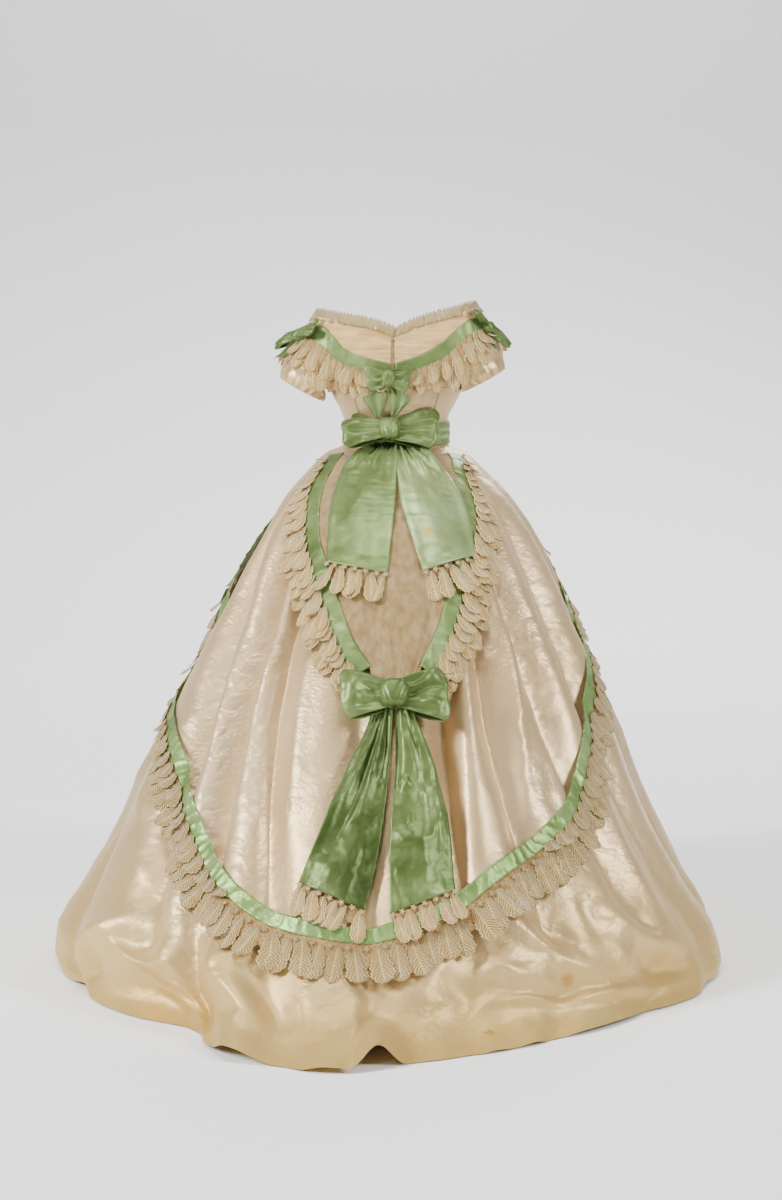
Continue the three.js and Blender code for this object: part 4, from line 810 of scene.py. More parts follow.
class Run:
    """A smooth line down the skirt, with a place every few millimetres and things beside it."""

    def __init__(self, route, out=1):
        angle, drop = np.array(route, float).T
        way = way_along(skirt_point(angle, drop))
        self.out = out
        self.flip = out > 0
        self.length = way[-1]
        self.way = np.linspace(0, self.length, max(2, int(self.length / RUN_STEP)) + 1)
        self.angle, self.drop = (smooth_curve(way, values)(self.way) for values in (angle, drop))
        per_degree, per_drop, normal = skirt_frame(self.angle, self.drop)
        ahead = unit(np.gradient(skirt_point(self.angle, self.drop), axis=0))
        aside = unit(np.cross(ahead, normal))
        self.ahead, self.aside = (self.steps_for(way, per_degree, per_drop) for way in (ahead, aside))
        down = unit(per_drop)
        self.droop = np.arctan2((down * ahead).sum(-1), (down * aside).sum(-1))

    @staticmethod
    def steps_for(way, per_degree, per_drop):
        """The change of angle and drop that moves a point one millimetre that way."""
        degree, drop = (per_degree ** 2).sum(-1), (per_drop ** 2).sum(-1)
        shared = (per_degree * per_drop).sum(-1)
        a, b = (way * per_degree).sum(-1), (way * per_drop).sum(-1)
        return np.stack([a * drop - b * shared, b * degree - a * shared]) / (degree * drop - shared ** 2)

    def at(self, way, away=0.0, ahead=0.0):
        """The angle and drop beside the line, that far away to its side and further ahead."""
        steps = ((self.angle, self.aside[0], self.ahead[0]), (self.drop, self.aside[1], self.ahead[1]))
        return [
            np.interp(way, self.way, here) + np.interp(way, self.way, side) * away
            + np.interp(way, self.way, front) * ahead
            for here, side, front in steps
        ]

    def spot(self, way, away, ahead, height):
        """Points beside the line, at a height over the cloth it lies on."""
        return above_skirt(*self.at(way, self.out * away, ahead), height)

    def hang(self, way):
        """How far straight down is turned from straight away, in degrees."""
        turn = math.degrees(np.interp(way, self.way, self.droop))
        return turn if self.out > 0 else wrapped(180 - turn)


def lay_ribbon(run, width, tuck, depth, seed, lift):
    """The points of a ribbon along a run, with small tucks across it."""
    way, away = np.meshgrid(run.way, np.linspace(width / 2, -width / 2, 9))
    edge = 1.2 * noise(stacked(way, 0, 0), 30, seed + 3)
    angle, drop = run.at(way, away + edge * np.sign(away))
    place = stacked(way, away, seed * 9.0)
    slant = 0.006 * away * np.sign(np.sin(way / 90 + seed))
    beat = way / tuck + 1.3 * noise(place, (70, 90, 50), seed) + slant
    saw = beat - np.floor(beat)
    tucks = depth * saw ** 4 * (0.7 + 0.6 * noise(place, (60, 200, 50), seed + 1))
    crease = 1.3 * noise(place, (9, 24, 50), seed + 2)
    return above_skirt(angle, drop, lift + tucks + crease)


# A lace leaf: half widths down its length, from the net to its serrated tip.
LEAF_OUTLINE = smooth_curve(
    [0, 0.1, 0.3, 0.55, 0.72, 0.87, 0.95, 1],
    [0.26, 0.42, 0.74, 0.96, 1.0, 0.84, 0.5, 0.14],
)
LEAF_ROWS, LEAF_COLUMNS = 21, 5
LEAF_TEETH = 8
STAR_SIZE = 6.2
STEEPEST_HANG = 62
NET_WALL = 0.5


def add_leaf(cloth, run, way, start, length, width, tilt, lift, seed):
    share, side = grid(np.linspace(0, 1, LEAF_ROWS), np.linspace(-1, 1, LEAF_COLUMNS))
    saw = 1 - 0.26 * ((share * LEAF_TEETH) % 1.0) * smoothstep(share, 0.15, 0.4)
    across = side * LEAF_OUTLINE(share) * saw * width / 2
    away, ahead = turned(share * length, across, tilt)
    away = start + away
    rng = np.random.default_rng(seed)
    curl, cup = rng.uniform(-1, 13), rng.uniform(-4, 4)
    height = lift + curl * share ** 2 + cup * side ** 2 * share + rng.uniform(0.4, 2.0) * side
    height = height + 1.4 * noise(stacked(away, ahead, seed * 3.1), 16, seed % 7)
    points = run.spot(np.full(away.shape, way), away, ahead, np.maximum(height, 1.0))
    cloth.add(points, TRIM_WALL, stacked(share, side), flip=run.flip)


def add_star(cloth, run, way, away, lift):
    """A little flower of five petals worked on the net."""
    share, side = grid(np.linspace(0, 1, 3), np.linspace(-1, 1, 3))
    across = side * STAR_SIZE * 0.34 * np.sin(math.pi * (0.12 + 0.8 * share))
    for petal in range(5):
        out, ahead = turned(share * STAR_SIZE, across, 72 * petal)
        points = run.spot(np.full(out.shape, way), away + out, ahead, lift + 0.8 * share)
        cloth.add(points, TRIM_WALL, stacked(share * 0.3, side * 0.2), flip=run.flip)


def lace_along(run, start, reach_of, pitch, seed, width=1.45, lift=2.6, tiers=None, hang_share=0.5):
    """Leaf lace beside a run: net, a row of hanging leaves, and a flower between each two of them.

    tiers gives the share of a second, shorter row of leaves at a share of the run.
    """
    cloth = Cloth()
    rng = np.random.default_rng(seed)
    count = max(2, round(run.length / pitch))
    step = run.length / count
    for i in range(count):
        way = (i + 0.5 + rng.uniform(-0.16, 0.16)) * step
        depth = reach_of(way / run.length) * rng.uniform(0.93, 1.06) - start
        tilt = np.clip(hang_share * run.hang(way), -STEEPEST_HANG, STEEPEST_HANG) + rng.uniform(-13, 13)
        stretch = 1 / math.cos(math.radians(0.8 * tilt))
        size = step * width * rng.uniform(0.88, 1.1)
        net, leaf = start + 0.14 * depth, 0.86 * depth * stretch
        leaf_seed = seed * 100 + i
        add_leaf(cloth, run, way, net, leaf, size, tilt, lift + 1.5 * (i % 2), leaf_seed)
        tier = tiers(way / run.length) if tiers else 0
        if tier > 0.2:
            leaf = depth * tier * stretch
            tilt = tilt + rng.uniform(-8, 8)
            way = way + step / 2
            add_leaf(cloth, run, way, start - 2, leaf, size * 0.9, tilt, lift + 4.5, leaf_seed + 50)
    for i in range(count + 1):
        way = min(max(i * step, 4), run.length - 4)
        add_star(cloth, run, way, start + 0.15 * (reach_of(way / run.length) - start), lift + 3.4)
    way, share = np.meshgrid(np.linspace(0, run.length, 6 * count + 1), np.linspace(0, 1, 8))
    away = start + share * 0.55 * (reach_of(way / run.length) - start)
    ruffle = 0.8 * noise(stacked(way, away, 0), (14, 40, 50), seed % 5)
    points = run.spot(way, away, 0.0, 1.4 + ruffle)
    cloth.add(points, NET_WALL, stacked(way, away) * MM, slot=1, flip=run.flip)
    return cloth


def make_upper_trimming(side, sign):
    run = Run(ROUTES[side + "_upper"], sign)
    points = lay_ribbon(run, UPPER_WIDTH, tuck=60, depth=1.2, seed=2 + sign, lift=3.0)
    make_sheet("silk_upper_ribbon_" + side, "upper_ribbon_" + side, points, TRIM_WALL, SILK, "ribbon")
    reach = smooth_curve([0, 0.2, 0.5, 0.8, 1], [34, 62, 82, 78, 60])
    tiers = smooth_curve([0, 0.1, 0.9, 1], [0.6, 0.62, 0.56, 0.5])
    lace = lace_along(run, UPPER_WIDTH / 2 - 2, reach, 23, 11 + sign, tiers=tiers, hang_share=0.78)
    lace.make("lace_upper_" + side, [LEAF, NET], "lace", "upper_lace_" + side)


def make_garland():
    run = Run(ROUTES["garland"])
    points = lay_ribbon(run, GARLAND_WIDTH, tuck=30, depth=3.6, seed=7, lift=2.2)
    make_sheet("silk_garland_ribbon", "garland_ribbon", points, TRIM_WALL, LIT_GARLAND_SILK, "ribbon")
    reach = smooth_curve([0, 0.3, 0.42, 0.5, 0.6, 0.75, 1], [60, 78, 94, 100, 94, 84, 60])
    tiers = smooth_curve([0, 0.36, 0.44, 0.6, 0.7, 1], [0.55, 0.55, 0, 0, 0.55, 0.55])
    lace = lace_along(run, GARLAND_WIDTH / 2 - 2, reach, 31, 31, width=1.4, tiers=tiers)
    lace.make("lace_garland", [LOW_SHADED_LEAF, NET], "lace", "garland_lace")


def panel_edge(route, away, foot):
    """Angles and drops of one edge of the tulle panel, which runs on to the bow's knot."""
    run = Run(ROUTES[route])
    angle, drop = run.at(np.linspace(0, 1, 84) * run.length, away)
    tail = np.linspace(0, 1, 10)[1:]
    return (
        np.append(values, mix(values[-1], end, tail))[:, None]
        for values, end in ((angle, foot), (drop, KNOT_DROP))
    )


def make_tulle_panel():
    inner = UPPER_WIDTH / 2 - 4
    left_angle, left_drop = panel_edge("left_upper", -inner, 3.5)
    right_angle, right_drop = panel_edge("right_upper", inner, -5.5)
    across = np.linspace(0, 1, 64)[None, :]
    angle, drop = mix(right_angle, left_angle, across), mix(right_drop, left_drop, across)
    place = stacked(across * 260, drop, 0)
    gathers = 1.6 * noise(place, (9, 130, 50), 1) + 1.4 * noise(place, (22, 220, 50), 2)
    points = above_skirt(angle, drop, 1.6 + gathers * smoothstep(drop, 30, 90))
    uv = stacked(across, drop * MM)
    make_sheet("gathered_tulle_panel", "tulle_panel", points, TULLE_WALL, SHADED_TULLE, "tulle", uv=uv)


make_upper_trimming("left", 1)
make_upper_trimming("right", -1)
make_garland()
make_tulle_panel()

# The belt bow's streamers and the skirt bow's tails: rows of drop, drop at the other edge, left and
# right edges as angles, the height over the skirt, and the depth of the folds.
TAILS = {
    "streamer_left": [
        (14, 14, 22, 0, 12, 6), (24, 24, 31, -0.4, 12, 9), (40, 40, 37, -0.6, 10, 8),
        (56, 56, 38, -0.5, 9, 4), (80, 80, 36.5, -0.3, 8, 1.5), (116, 116, 33.5, 0, 7, 0.5),
        (172, 172, 29.3, 1.3, 7, 0.2), (232, 246, 25.6, 2.8, 8, 0),
    ],
    "streamer_right": [
        (14, 14, 2, -15, 13, 6), (24, 24, 1.4, -22, 13, 9), (40, 40, 0.4, -27.5, 11, 8),
        (56, 56, -0.4, -31.5, 10, 4), (80, 80, -1, -34.5, 9, 1.5), (116, 116, -2, -35, 9, 0.5),
        (172, 172, -5.6, -33.3, 10, 0.2), (242, 218, -9.4, -31, 12, 0),
    ],
    "bow_tail_left": [
        (482, 482, 3.4, -0.8, 18, 8), (520, 520, 5, -0.9, 16, 9), (600, 600, 8.6, -1, 13, 9),
        (700, 700, 12, -0.6, 11, 6), (792, 834, 14.4, 1.3, 8, 3),
    ],
    "bow_tail_right": [
        (482, 482, -1.4, -6, 18, 8), (520, 520, -1.7, -7.6, 16, 9), (600, 600, -2.4, -11.6, 13, 9),
        (700, 700, -2.2, -14.4, 11, 6), (841, 803, -3.2, -15.2, 8, 3),
    ],
}
# Creases on the tails: height, reach to the right and to the left of a line that runs down, and
# the line's places: hundredths of the width from the left edge, and drops.
TAIL_CREASES = {
    "streamer_left": [
        (4, 22, 7, [(58, 74), (53, 88), (34, 140), (20, 172)]), (-6, 8, 12, [(58, 20), (44, 60), (34, 96)]),
        (-9, 5, 7, [(78, 18), (66, 44), (58, 70)]), (-9, 5, 7, [(44, 18), (26, 44), (14, 66)]),
        (-7, 4, 6, [(92, 18), (88, 50), (84, 84)]),
        (-6, 4, 5, [(68, 18), (50, 44)]), (-5, 4, 4, [(30, 18), (8, 44)]),
        (3, 12, 12, [(76, 60), (80, 110), (86, 170)]), (2, 6, 6, [(6, 50), (5, 140), (5, 225)]),
        (2, 6, 6, [(94, 50), (95, 140), (95, 235)]), (3, 40, 14, [(10, 208), (50, 214), (92, 222)]),
    ],
    "streamer_right": [
        (-8, 7, 10, [(24, 20), (38, 52), (52, 86)]), (4, 20, 8, [(44, 92), (58, 104), (80, 108)]),
        (-9, 5, 7, [(10, 18), (14, 52), (18, 84)]), (-9, 5, 7, [(48, 18), (70, 44), (82, 64)]),
        (-6, 4, 5, [(34, 18), (54, 44)]), (-5, 4, 4, [(66, 18), (90, 42)]),
        (-3, 9, 14, [(62, 40), (66, 70), (66, 110)]), (3, 16, 20, [(30, 80), (32, 150), (38, 200)]),
        (2, 6, 6, [(5, 50), (5, 140), (5, 230)]), (2, 6, 6, [(95, 50), (95, 130), (95, 205)]),
        (3, 40, 14, [(10, 218), (50, 208), (92, 196)]),
    ],
    "bow_tail_left": [
        (-9, 7, 14, [(56, 505), (54, 530), (46, 600), (38, 676), (24, 756)]),
        (7, 20, 5, [(62, 510), (60, 560), (52, 640), (48, 690)]),
        (5, 46, 10, [(36, 692), (62, 680), (92, 672)]),
        (5, 16, 22, [(22, 540), (22, 620), (20, 700)]), (-7, 5, 6, [(30, 484), (24, 540), (12, 610)]),
        (-7, 5, 6, [(72, 484), (78, 530), (86, 590)]), (-4, 9, 9, [(80, 500), (86, 560), (88, 620)]),
        (3, 14, 20, [(64, 700), (70, 760), (80, 820)]), (3, 30, 8, [(12, 770), (40, 796), (66, 822)]),
        (2.5, 5, 5, [(84, 700), (96, 706)]), (2.5, 5, 5, [(80, 736), (95, 744)]),
        (2.5, 5, 5, [(78, 772), (94, 782)]),
    ],
    "bow_tail_right": [
        (-8, 9, 12, [(4, 520), (5, 580), (5, 660)]), (-6, 6, 8, [(46, 500), (52, 522), (62, 560)]),
        (4, 14, 22, [(10, 552), (34, 546), (60, 550)]), (6, 13, 15, [(24, 608), (25, 622), (25, 634)]),
        (8, 20, 22, [(22, 698), (25, 716), (26, 732)]), (5, 9, 26, [(45, 690), (54, 740), (68, 818)]),
        (5, 10, 12, [(0, 748), (8, 790), (20, 846)]), (4, 16, 16, [(76, 600), (82, 660), (86, 730)]),
        (-4, 10, 14, [(60, 590), (66, 650), (72, 700)]), (3, 18, 12, [(38, 650), (56, 640), (80, 646)]),
        (-4, 12, 12, [(40, 760), (58, 766), (76, 756)]), (3, 24, 9, [(30, 824), (60, 812), (90, 796)]),
    ],
}


def make_tail(name, silk, folds, wrinkles, seed):
    table = np.array(TAILS[name], float)
    places = np.linspace(0, 1, len(table))
    drops = np.linspace(table[0, 0], table[-1, 0], 88)
    level = np.interp(drops, table[:, 0], places)
    drop_left, drop_right, left, right, out, fold = (
        smooth_curve(places, column)(level)[:, None] for column in table.T
    )
    across = np.linspace(0, 1, 36)[None, :]
    angle, drop = mix(left, right, across), mix(drop_left, drop_right, across)
    phase = across * folds * 2 * math.pi + 0.8 * math.sin(seed)
    swell = 0.5 - 0.5 * np.cos(phase + 0.6 * np.sin(2 * phase))
    height = out - 3 + fold * swell + drawn(TAIL_CREASES[name], across * 100, drop)
    height = height + wrinkles(stacked(across * 140, drop, seed * 40))
    points = above_skirt(angle, drop, np.maximum(height, 2.6))
    make_sheet("silk_" + name, name, points, TRIM_WALL, silk, "ribbon", flip=True)


def streamer_wrinkles(place):
    across = 1.6 * (0.4 - np.abs(noise(place, (70, 9, 50), 1))) + noise(place, (40, 16, 50), 2)
    return across + 1.5 * noise(place, (60, 60, 50), 3)


def tail_wrinkles(place):
    broad = 3.4 * noise(place, (60, 52, 50), 6) + 4.2 * (0.4 - np.abs(noise(place, (52, 40, 50), 4)))
    return broad + 1.8 * (0.4 - np.abs(noise(place, (15, 19, 50), 5)))


def make_tail_lace(kind, side, reach, seed, lift):
    """Lace along the slanting foot of a tail."""
    left_drop, right_drop, left, right = TAILS[f"{kind}_{side}"][-1][:4]
    middle = mix(left, right, 0.5), mix(left_drop, right_drop, 0.5)
    run = Run([(left, left_drop), middle, (right, right_drop)])
    lace = lace_along(run, -6, lambda share: reach, 23, seed, lift=lift, width=1.3)
    lace.make(f"lace_{kind}_{side}", [LEAF, NET], "lace", f"{kind}_lace_{side}")


# The right streamer's silk is a lighter copy, painted light; both bow tails take darker copies, painted
# shade, the left one darkest.
for i, side in enumerate(("left", "right")):
    make_tail("streamer_" + side, (SILK, LIT_SILK)[i], 2.5, streamer_wrinkles, 3 + i)
    make_tail_lace("streamer", side, 74, 51 + i, 5.4)
    make_tail("bow_tail_" + side, (DEEP_SHADED_SILK, SHADED_BOW_SILK)[i], 1.0, tail_wrinkles, 5 + i)
    make_tail_lace("bow_tail", side, 62, 61 + i, 4.4)

# ---------- The bodice, belt, bertha and sleeves ----------

BODICE_SECTIONS = np.array([
    (-16, 108.5, 89.5, 90), (0, 108, 89, 90), (30, 109, 91, 98), (52, 117, 97, 110), (75, 130, 104, 124),
    (110, 141, 109, 137), (150, 147, 110, 140), (190, 152, 105, 128), (240, 156, 98, 112),
], float)
BODICE_TOP = np.array([
    (0, 224), (14, 224), (28, 226), (41, 228), (51, 220), (57, 184), (64, 142), (74, 114), (90, 104),
    (106, 112), (115, 138), (122, 168), (129, 188), (146, 184), (163, 178), (180, 175),
], float)
BODICE_PIECES = [
    ("bodice_back_left", 0, 41), ("bodice_side_left", 41, 106), ("bodice_front", 106, 254),
    ("bodice_side_right", 254, 319), ("bodice_back_right", 319, 360),
]
BODICE = curves(BODICE_SECTIONS)
BODICE_EDGE, = curves(BODICE_TOP)
BODICE_FOOT = -16
BODICE_STEP = 2.0
SEAM_DEPTH = 0.8
CLOSING_DEPTH = 1.2


def from_back(angle):
    return np.abs(wrapped(np.asarray(angle, float)))


def bodice_point(angle, height, out=0.0):
    half_width, back, front = (curve(height) for curve in BODICE)
    sine, cosine = sine_cosine(angle)
    depth = np.where(cosine > 0, back, front)
    return stacked((half_width + out) * sine, (depth + out) * cosine, height)


def make_bodice_piece(name, start, end):
    angles = np.linspace(start, end, int((end - start) / BODICE_STEP) + 1)
    height = mix(BODICE_FOOT, BODICE_EDGE(from_back(angles))[None, :], np.linspace(0, 1, 40)[:, None])
    angle = np.broadcast_to(angles[None, :], height.shape)
    smooth = bodice_point(angle, height)
    strain = noise(smooth, (60, 60, 14), 8) + 0.8 * noise(smooth, (26, 26, 30), 9)
    seam = np.minimum(np.abs(angle - start), np.abs(angle - end))
    grooves = SEAM_DEPTH * np.exp(-seam ** 2) + CLOSING_DEPTH * np.exp(-(from_back(angle) / 1.2) ** 2)
    points = bodice_point(angle, height, strain * 0.7 - grooves)
    make_sheet("satin_" + name, name, points, SATIN_WALL, SHADED_BODICE_SATIN, "satin", flip=True)


for piece in BODICE_PIECES:
    make_bodice_piece(*piece)

BELT_FOOT, BELT_TOP, BELT_EASE = -18, 26, 6.2


def make_belt():
    share, angle = grid(np.linspace(0, 1, 18), np.linspace(0, 360, 151)[:-1])
    height = mix(BELT_FOOT, BELT_TOP, share)
    height = height + 1.2 * noise(bodice_point(angle, height), (50, 50, 500), 4)
    place = bodice_point(angle, height)
    folds = 1.4 * noise(place, (120, 120, 8), 5) + 0.5 * noise(place, (16, 16, 16), 6)
    points = bodice_point(angle, height, BELT_EASE - 0.6 + folds)
    make_sheet("silk_belt", "belt", points, TRIM_WALL, SILK, "ribbon", closed=True, flip=True)


make_belt()

BERTHA_SECTIONS = np.array([
    (60, 243, 101, 117), (100, 243, 108, 134.5), (125, 241, 109.8, 139), (158, 233, 109.6, 138.4),
    (190, 216, 105.4, 128.6), (220, 196, 101.3, 119), (245, 180, 98, 112), (285, 158, 91.5, 100),
], float)
BERTHA_SQUARENESS = 2.8
SHOULDER_SWAY = 7
# Angle, neck edge, the ribbon's two edges, and the frill's foot on the left and the right.
BERTHA_LINES = np.array([
    (0, 214, 153, 125, 100, 96), (12, 230, 166, 137, 90, 84), (24, 240, 186, 156, 87, 84),
    (36, 247, 218, 189, 106, 98), (48, 253, 236, 208, 142, 150), (60, 256, 238, 211, 160, 184),
    (72, 256, 237, 210, 160, 186), (84, 255, 235, 208, 158, 184), (96, 254, 231, 204, 156, 176),
    (108, 251, 227, 199, 150, 158), (120, 247, 220, 192, 139, 144), (132, 238, 206, 178, 120, 121),
    (144, 223, 182, 153, 94, 94), (156, 205, 158, 129, 76, 76), (168, 192, 141, 112, 68, 68),
    (180, 186, 133, 104, 66, 66),
], float)
BERTHA = curves(BERTHA_SECTIONS)
NECK, RIBBON_TOP, RIBBON_FOOT, FRILL_LEFT, FRILL_RIGHT = curves(BERTHA_LINES)
BERTHA_STRETCHES = [("left", 1.0, 84.0), ("right", -84.0, -1.0), ("front", 84.8, 275.2)]
FRILL_FLARE = 0.10
FRILL_PITCH = 17.0
FRILL_SEED = 71
# The tulle's two back edges meet above this height, and stand apart below it.
SLIT_TOP = 203.0


def bertha_point(angle, height, out=0.0):
    half_width, back, front = (curve(height) for curve in BERTHA)
    sine, cosine = sine_cosine(angle)
    power = BERTHA_SQUARENESS
    reach = (np.abs(sine) ** power + np.abs(cosine) ** power) ** (-1 / power)
    x = (half_width + out) * sine * reach
    y = (np.where(cosine > 0, back, front) + out) * cosine * reach
    x = x + SHOULDER_SWAY * (1 - smoothstep(height, 190, 240))
    return stacked(x, y, height - NECK_TILT * x)


def bertha_grid(start, end, rows, top, foot):
    """The angles and heights of a stretch of the bertha, in rows from its foot to its top."""
    share, angle = grid(np.linspace(0, 1, rows), np.linspace(start, end, int(end - start) + 1))
    away = from_back(angle)
    return angle, mix(foot(away), top(away), share)


class NeckRun:
    """The foot of the neck ribbon between two angles, for lace to hang from."""

    flip = False

    def __init__(self, start, end):
        self.angles = np.arange(start, end, 0.5)
        self.way = way_along(bertha_point(self.angles, RIBBON_FOOT(from_back(self.angles))))
        self.length = self.way[-1]

    def spot(self, way, away, ahead, height):
        angle = np.interp(way + ahead, self.way, self.angles)
        down = RIBBON_FOOT(from_back(angle)) - away
        return bertha_point(angle, down, 1.6 + height + FRILL_FLARE * np.maximum(away, 0))

    def reach(self, way):
        """How deep the frill is at a place along the way."""
        angle = np.interp(way, self.way, self.angles)
        away = from_back(angle)
        foot = np.where((angle < 0) | (angle > 180), FRILL_RIGHT(away), FRILL_LEFT(away))
        return (RIBBON_FOOT(away) - foot) * (1 - 0.16 * smoothstep(away, 40, 60))


def make_bertha_tulle(stretch, start, end):
    angle, height = bertha_grid(start, end, 32, NECK, RIBBON_TOP)
    edge = np.clip(2.0 - from_back(angle), 0, 1) * (1 - smoothstep(height, SLIT_TOP - 3, SLIT_TOP + 3))
    closed = (from_back(angle) < 1.2) & (height > SLIT_TOP)
    angle = np.where(closed, np.sign(wrapped(angle)) * 0.12, angle)
    place = bertha_point(angle, height)
    gathers = 1.9 * noise(place, (80, 80, 6.5), 1) + 1.1 * noise(place, (26, 26, 5), 2)
    points = bertha_point(angle, height, 1.2 + gathers + 1.2 * edge)
    node = "bertha_tulle_" + stretch
    make_sheet("gathered_tulle_" + stretch, node, points, TULLE_WALL, BERTHA_TULLE, "tulle", flip=True)


def make_bertha_ribbon(stretch, start, end):
    angle, height = bertha_grid(start, end, 12, RIBBON_TOP, RIBBON_FOOT)
    place = bertha_point(angle, height)
    creases = 1.1 * noise(place, (16, 16, 60), 3) + 0.5 * noise(place, (8, 8, 14), 4)
    points = bertha_point(angle, height, 2.4 + creases)
    node = "bertha_ribbon_" + stretch
    make_sheet("silk_" + node, node, points, TRIM_WALL, SILK, "ribbon", flip=True)


def make_frill(stretch, start, end):
    """Net with two rows of leaves, from the foot of the neck ribbon."""
    run = NeckRun(start, end)
    frill = Cloth()
    share, way = grid(np.linspace(0, 1, 13), np.linspace(0, run.length, int(run.length / 2.2)))
    away = -2 + share * (run.reach(way) + 2) * (0.82 + 0.05 * noise(stacked(way, 0, 0), 11, 3))
    spot = stacked(way, away, 0)
    ruffle = share * (3.0 * noise(spot, (9, 60, 50), 6) + 2.2 * noise(spot, (22, 60, 50), 7))
    near = smoothstep(from_back(np.interp(way, run.way, run.angles)), 4, 14)
    points = run.spot(way, away, 0.0, near * (2.5 + ruffle))
    frill.add(points, TULLE_WALL, stacked(way, away) * MM, slot=1)
    rng = np.random.default_rng(FRILL_SEED)
    for row, size, lift in ((0.0, 0.94, 1.6), (0.5, 0.6, 4.2)):
        for i in range(int(run.length / FRILL_PITCH)):
            way = (i + 0.5 + row + rng.uniform(-0.2, 0.2)) * FRILL_PITCH
            if 6 < way < run.length - 6:
                reach = float(run.reach(way)) * size * rng.uniform(0.9, 1.06)
                width = FRILL_PITCH * rng.uniform(1.1, 1.5)
                tilt = rng.uniform(-14, 14)
                add_leaf(frill, run, way, -3, reach + 3, width, tilt, lift, 700 + i + int(row * 200))
    frill.make("lace_frill_" + stretch, [LEAF, NET], "lace", "bertha_frill_" + stretch)


for stretch in BERTHA_STRETCHES:
    make_bertha_tulle(*stretch)
    make_bertha_ribbon(*stretch)
    make_frill(*stretch)


def make_edging():
    share, angle = grid(np.linspace(0, 1, 6), np.linspace(0.2, 359.8, 1000))
    tooth = angle / 2.6 + 0.5 * noise(stacked(angle, 0, 0), 7, 3)
    wave = np.abs(2 * (tooth % 1) - 1)
    height = NECK(from_back(angle)) - 7 + share * (17 + 7 * (1 - wave ** 2))
    ruffle = 3.6 * noise(bertha_point(angle, height), (8, 8, 30), 7) * (1 - 0.3 * share)
    points = bertha_point(angle, height, 3.0 + ruffle - 2.5 * share)
    uv = stacked(share * 0.8, wave)
    make_sheet("lace_neck_edging", "neck_edging", points, TRIM_WALL, LEAF, "lace", uv=uv, flip=True)


make_edging()

# Rows of x, z, the half axis to the shoulder (x and z), half depth, saddle and puff.
SLEEVE_RINGS = np.array([
    (160, 168, 14, 64, 60, 40, 1), (172, 154, 23, 54, 60, 32, 1.06), (182, 138, 32, 44, 60, 22, 1.12),
    (186, 120, 40, 34, 58, 12, 1.13), (191, 103, 42, 23, 54, 0, 1.02),
], float)
SLEEVE_GATHERS = 17
BODICE_CLEARANCE = 1.5


def make_sleeve(side, sign):
    share = np.linspace(0, 1, 34)[:, None]
    rings = len(SLEEVE_RINGS)
    x, z, out_x, out_z, depth, saddle, puff = (
        smooth_curve(np.arange(rings), column)(share * (rings - 1)) for column in SLEEVE_RINGS.T
    )
    around = np.linspace(0, 360, 121)[:-1][None, :]
    sine, cosine = sine_cosine(around)
    turn, middle = np.radians(around), np.sin(math.pi * share)
    gathers = 0.055 * np.sin(turn * SLEEVE_GATHERS + 1.5 * np.sin(turn * 3)) * (1 - middle ** 0.7)
    fold = 0.13 * noise(stacked(around, share * 60, 0), (60, 9, 50), 3 + sign)
    rolls = 0.06 * np.sin(2 * math.pi * (share * 2.2 + 0.15 * np.sin(turn * 2 + sign)))
    size = puff * (1 + gathers + (fold + rolls) * middle)
    points = stacked(
        SHOULDER_SWAY + sign * (x + out_x * cosine * size - saddle * sine ** 2),
        depth * sine * size,
        z + out_z * cosine * size - NECK_TILT * sign * x,
    )
    # Where the sleeve meets the bodice it lies against it.
    half_width, back, front = (curve(points[..., 2]) + BODICE_CLEARANCE for curve in BODICE)
    depth = np.where(points[..., 1] > 0, back, front)
    inside = np.hypot(points[..., 0] / half_width, points[..., 1] / depth)
    points[..., :2] *= np.where(inside < 1, 1 / np.maximum(inside, 0.2), 1)[..., None]
    name = "sleeve_" + side
    make_sheet("satin_" + name, name, points, SATIN_WALL, SATIN, "satin", closed=True, flip=sign > 0)


make_sleeve("left", 1)
make_sleeve("right", -1)

# ---------- Bows ----------


class Place:
    """A spot to sew a bow on: across, up and out of the cloth."""

    def __init__(self, origin, out):
        self.origin, self.out = np.asarray(origin, float), unit(np.asarray(out, float))
        self.across = unit(np.cross(self.out, (0, 0, 1)))
        self.up = unit(np.cross(self.across, self.out))

    def at(self, x, y, z):
        return self.origin + stacked(x, y, z) @ np.stack([self.across, self.up, self.out])


def place_on(surface, angle, level, step):
    """A spot on the bertha or the skirt; the step leads down it."""
    wide = abs(step)
    across = surface(angle + wide, level) - surface(angle - wide, level)
    down = surface(angle, level + step) - surface(angle, level - step)
    return Place(surface(angle, level), np.cross(across, down))


def loop_points(place, seed, angle, length, height, foot, puff, lift, flare, creases, roundness=0.12):
    """A ribbon loop that leaves the knot underneath, turns at its end and comes back on top.

    Creases on its upper side are drawn by their way across and their way out from the knot.
    """
    turn, share = grid(np.linspace(0, 1, 52), np.linspace(-1, 1, 29))
    reach = np.sin(math.pi * turn)
    opening = 0.3 + 0.7 * smoothstep(reach, 0, 0.8)
    spread = share * mix(foot, height, reach ** 0.75) / 2
    end = length * (reach + 0.02 * np.cos(share * 5 + seed)) * (1 + flare * share)
    end = end * (1 - roundness * share ** 4)
    fan = np.cos(share * 2.5 * math.pi + seed) * (1 - reach ** 2)
    spot = stacked(end, spread, seed * 30)
    dents = 2.2 * noise(spot, (30, 16, 50), 3) + noise(spot, (13, 8, 50), 4)
    z = lift + puff * (0.5 - 0.5 * np.cos(math.pi * turn) * opening) + 2.4 * fan + dents * reach
    z = z + 0.16 * puff * (1 - share ** 2) * reach * np.where(turn > 0.5, 1, -0.3)
    z = z + drawn(creases, spread, end) * smoothstep(turn, 0.5, 0.62)
    return place.at(*turned(end, spread, angle), z)


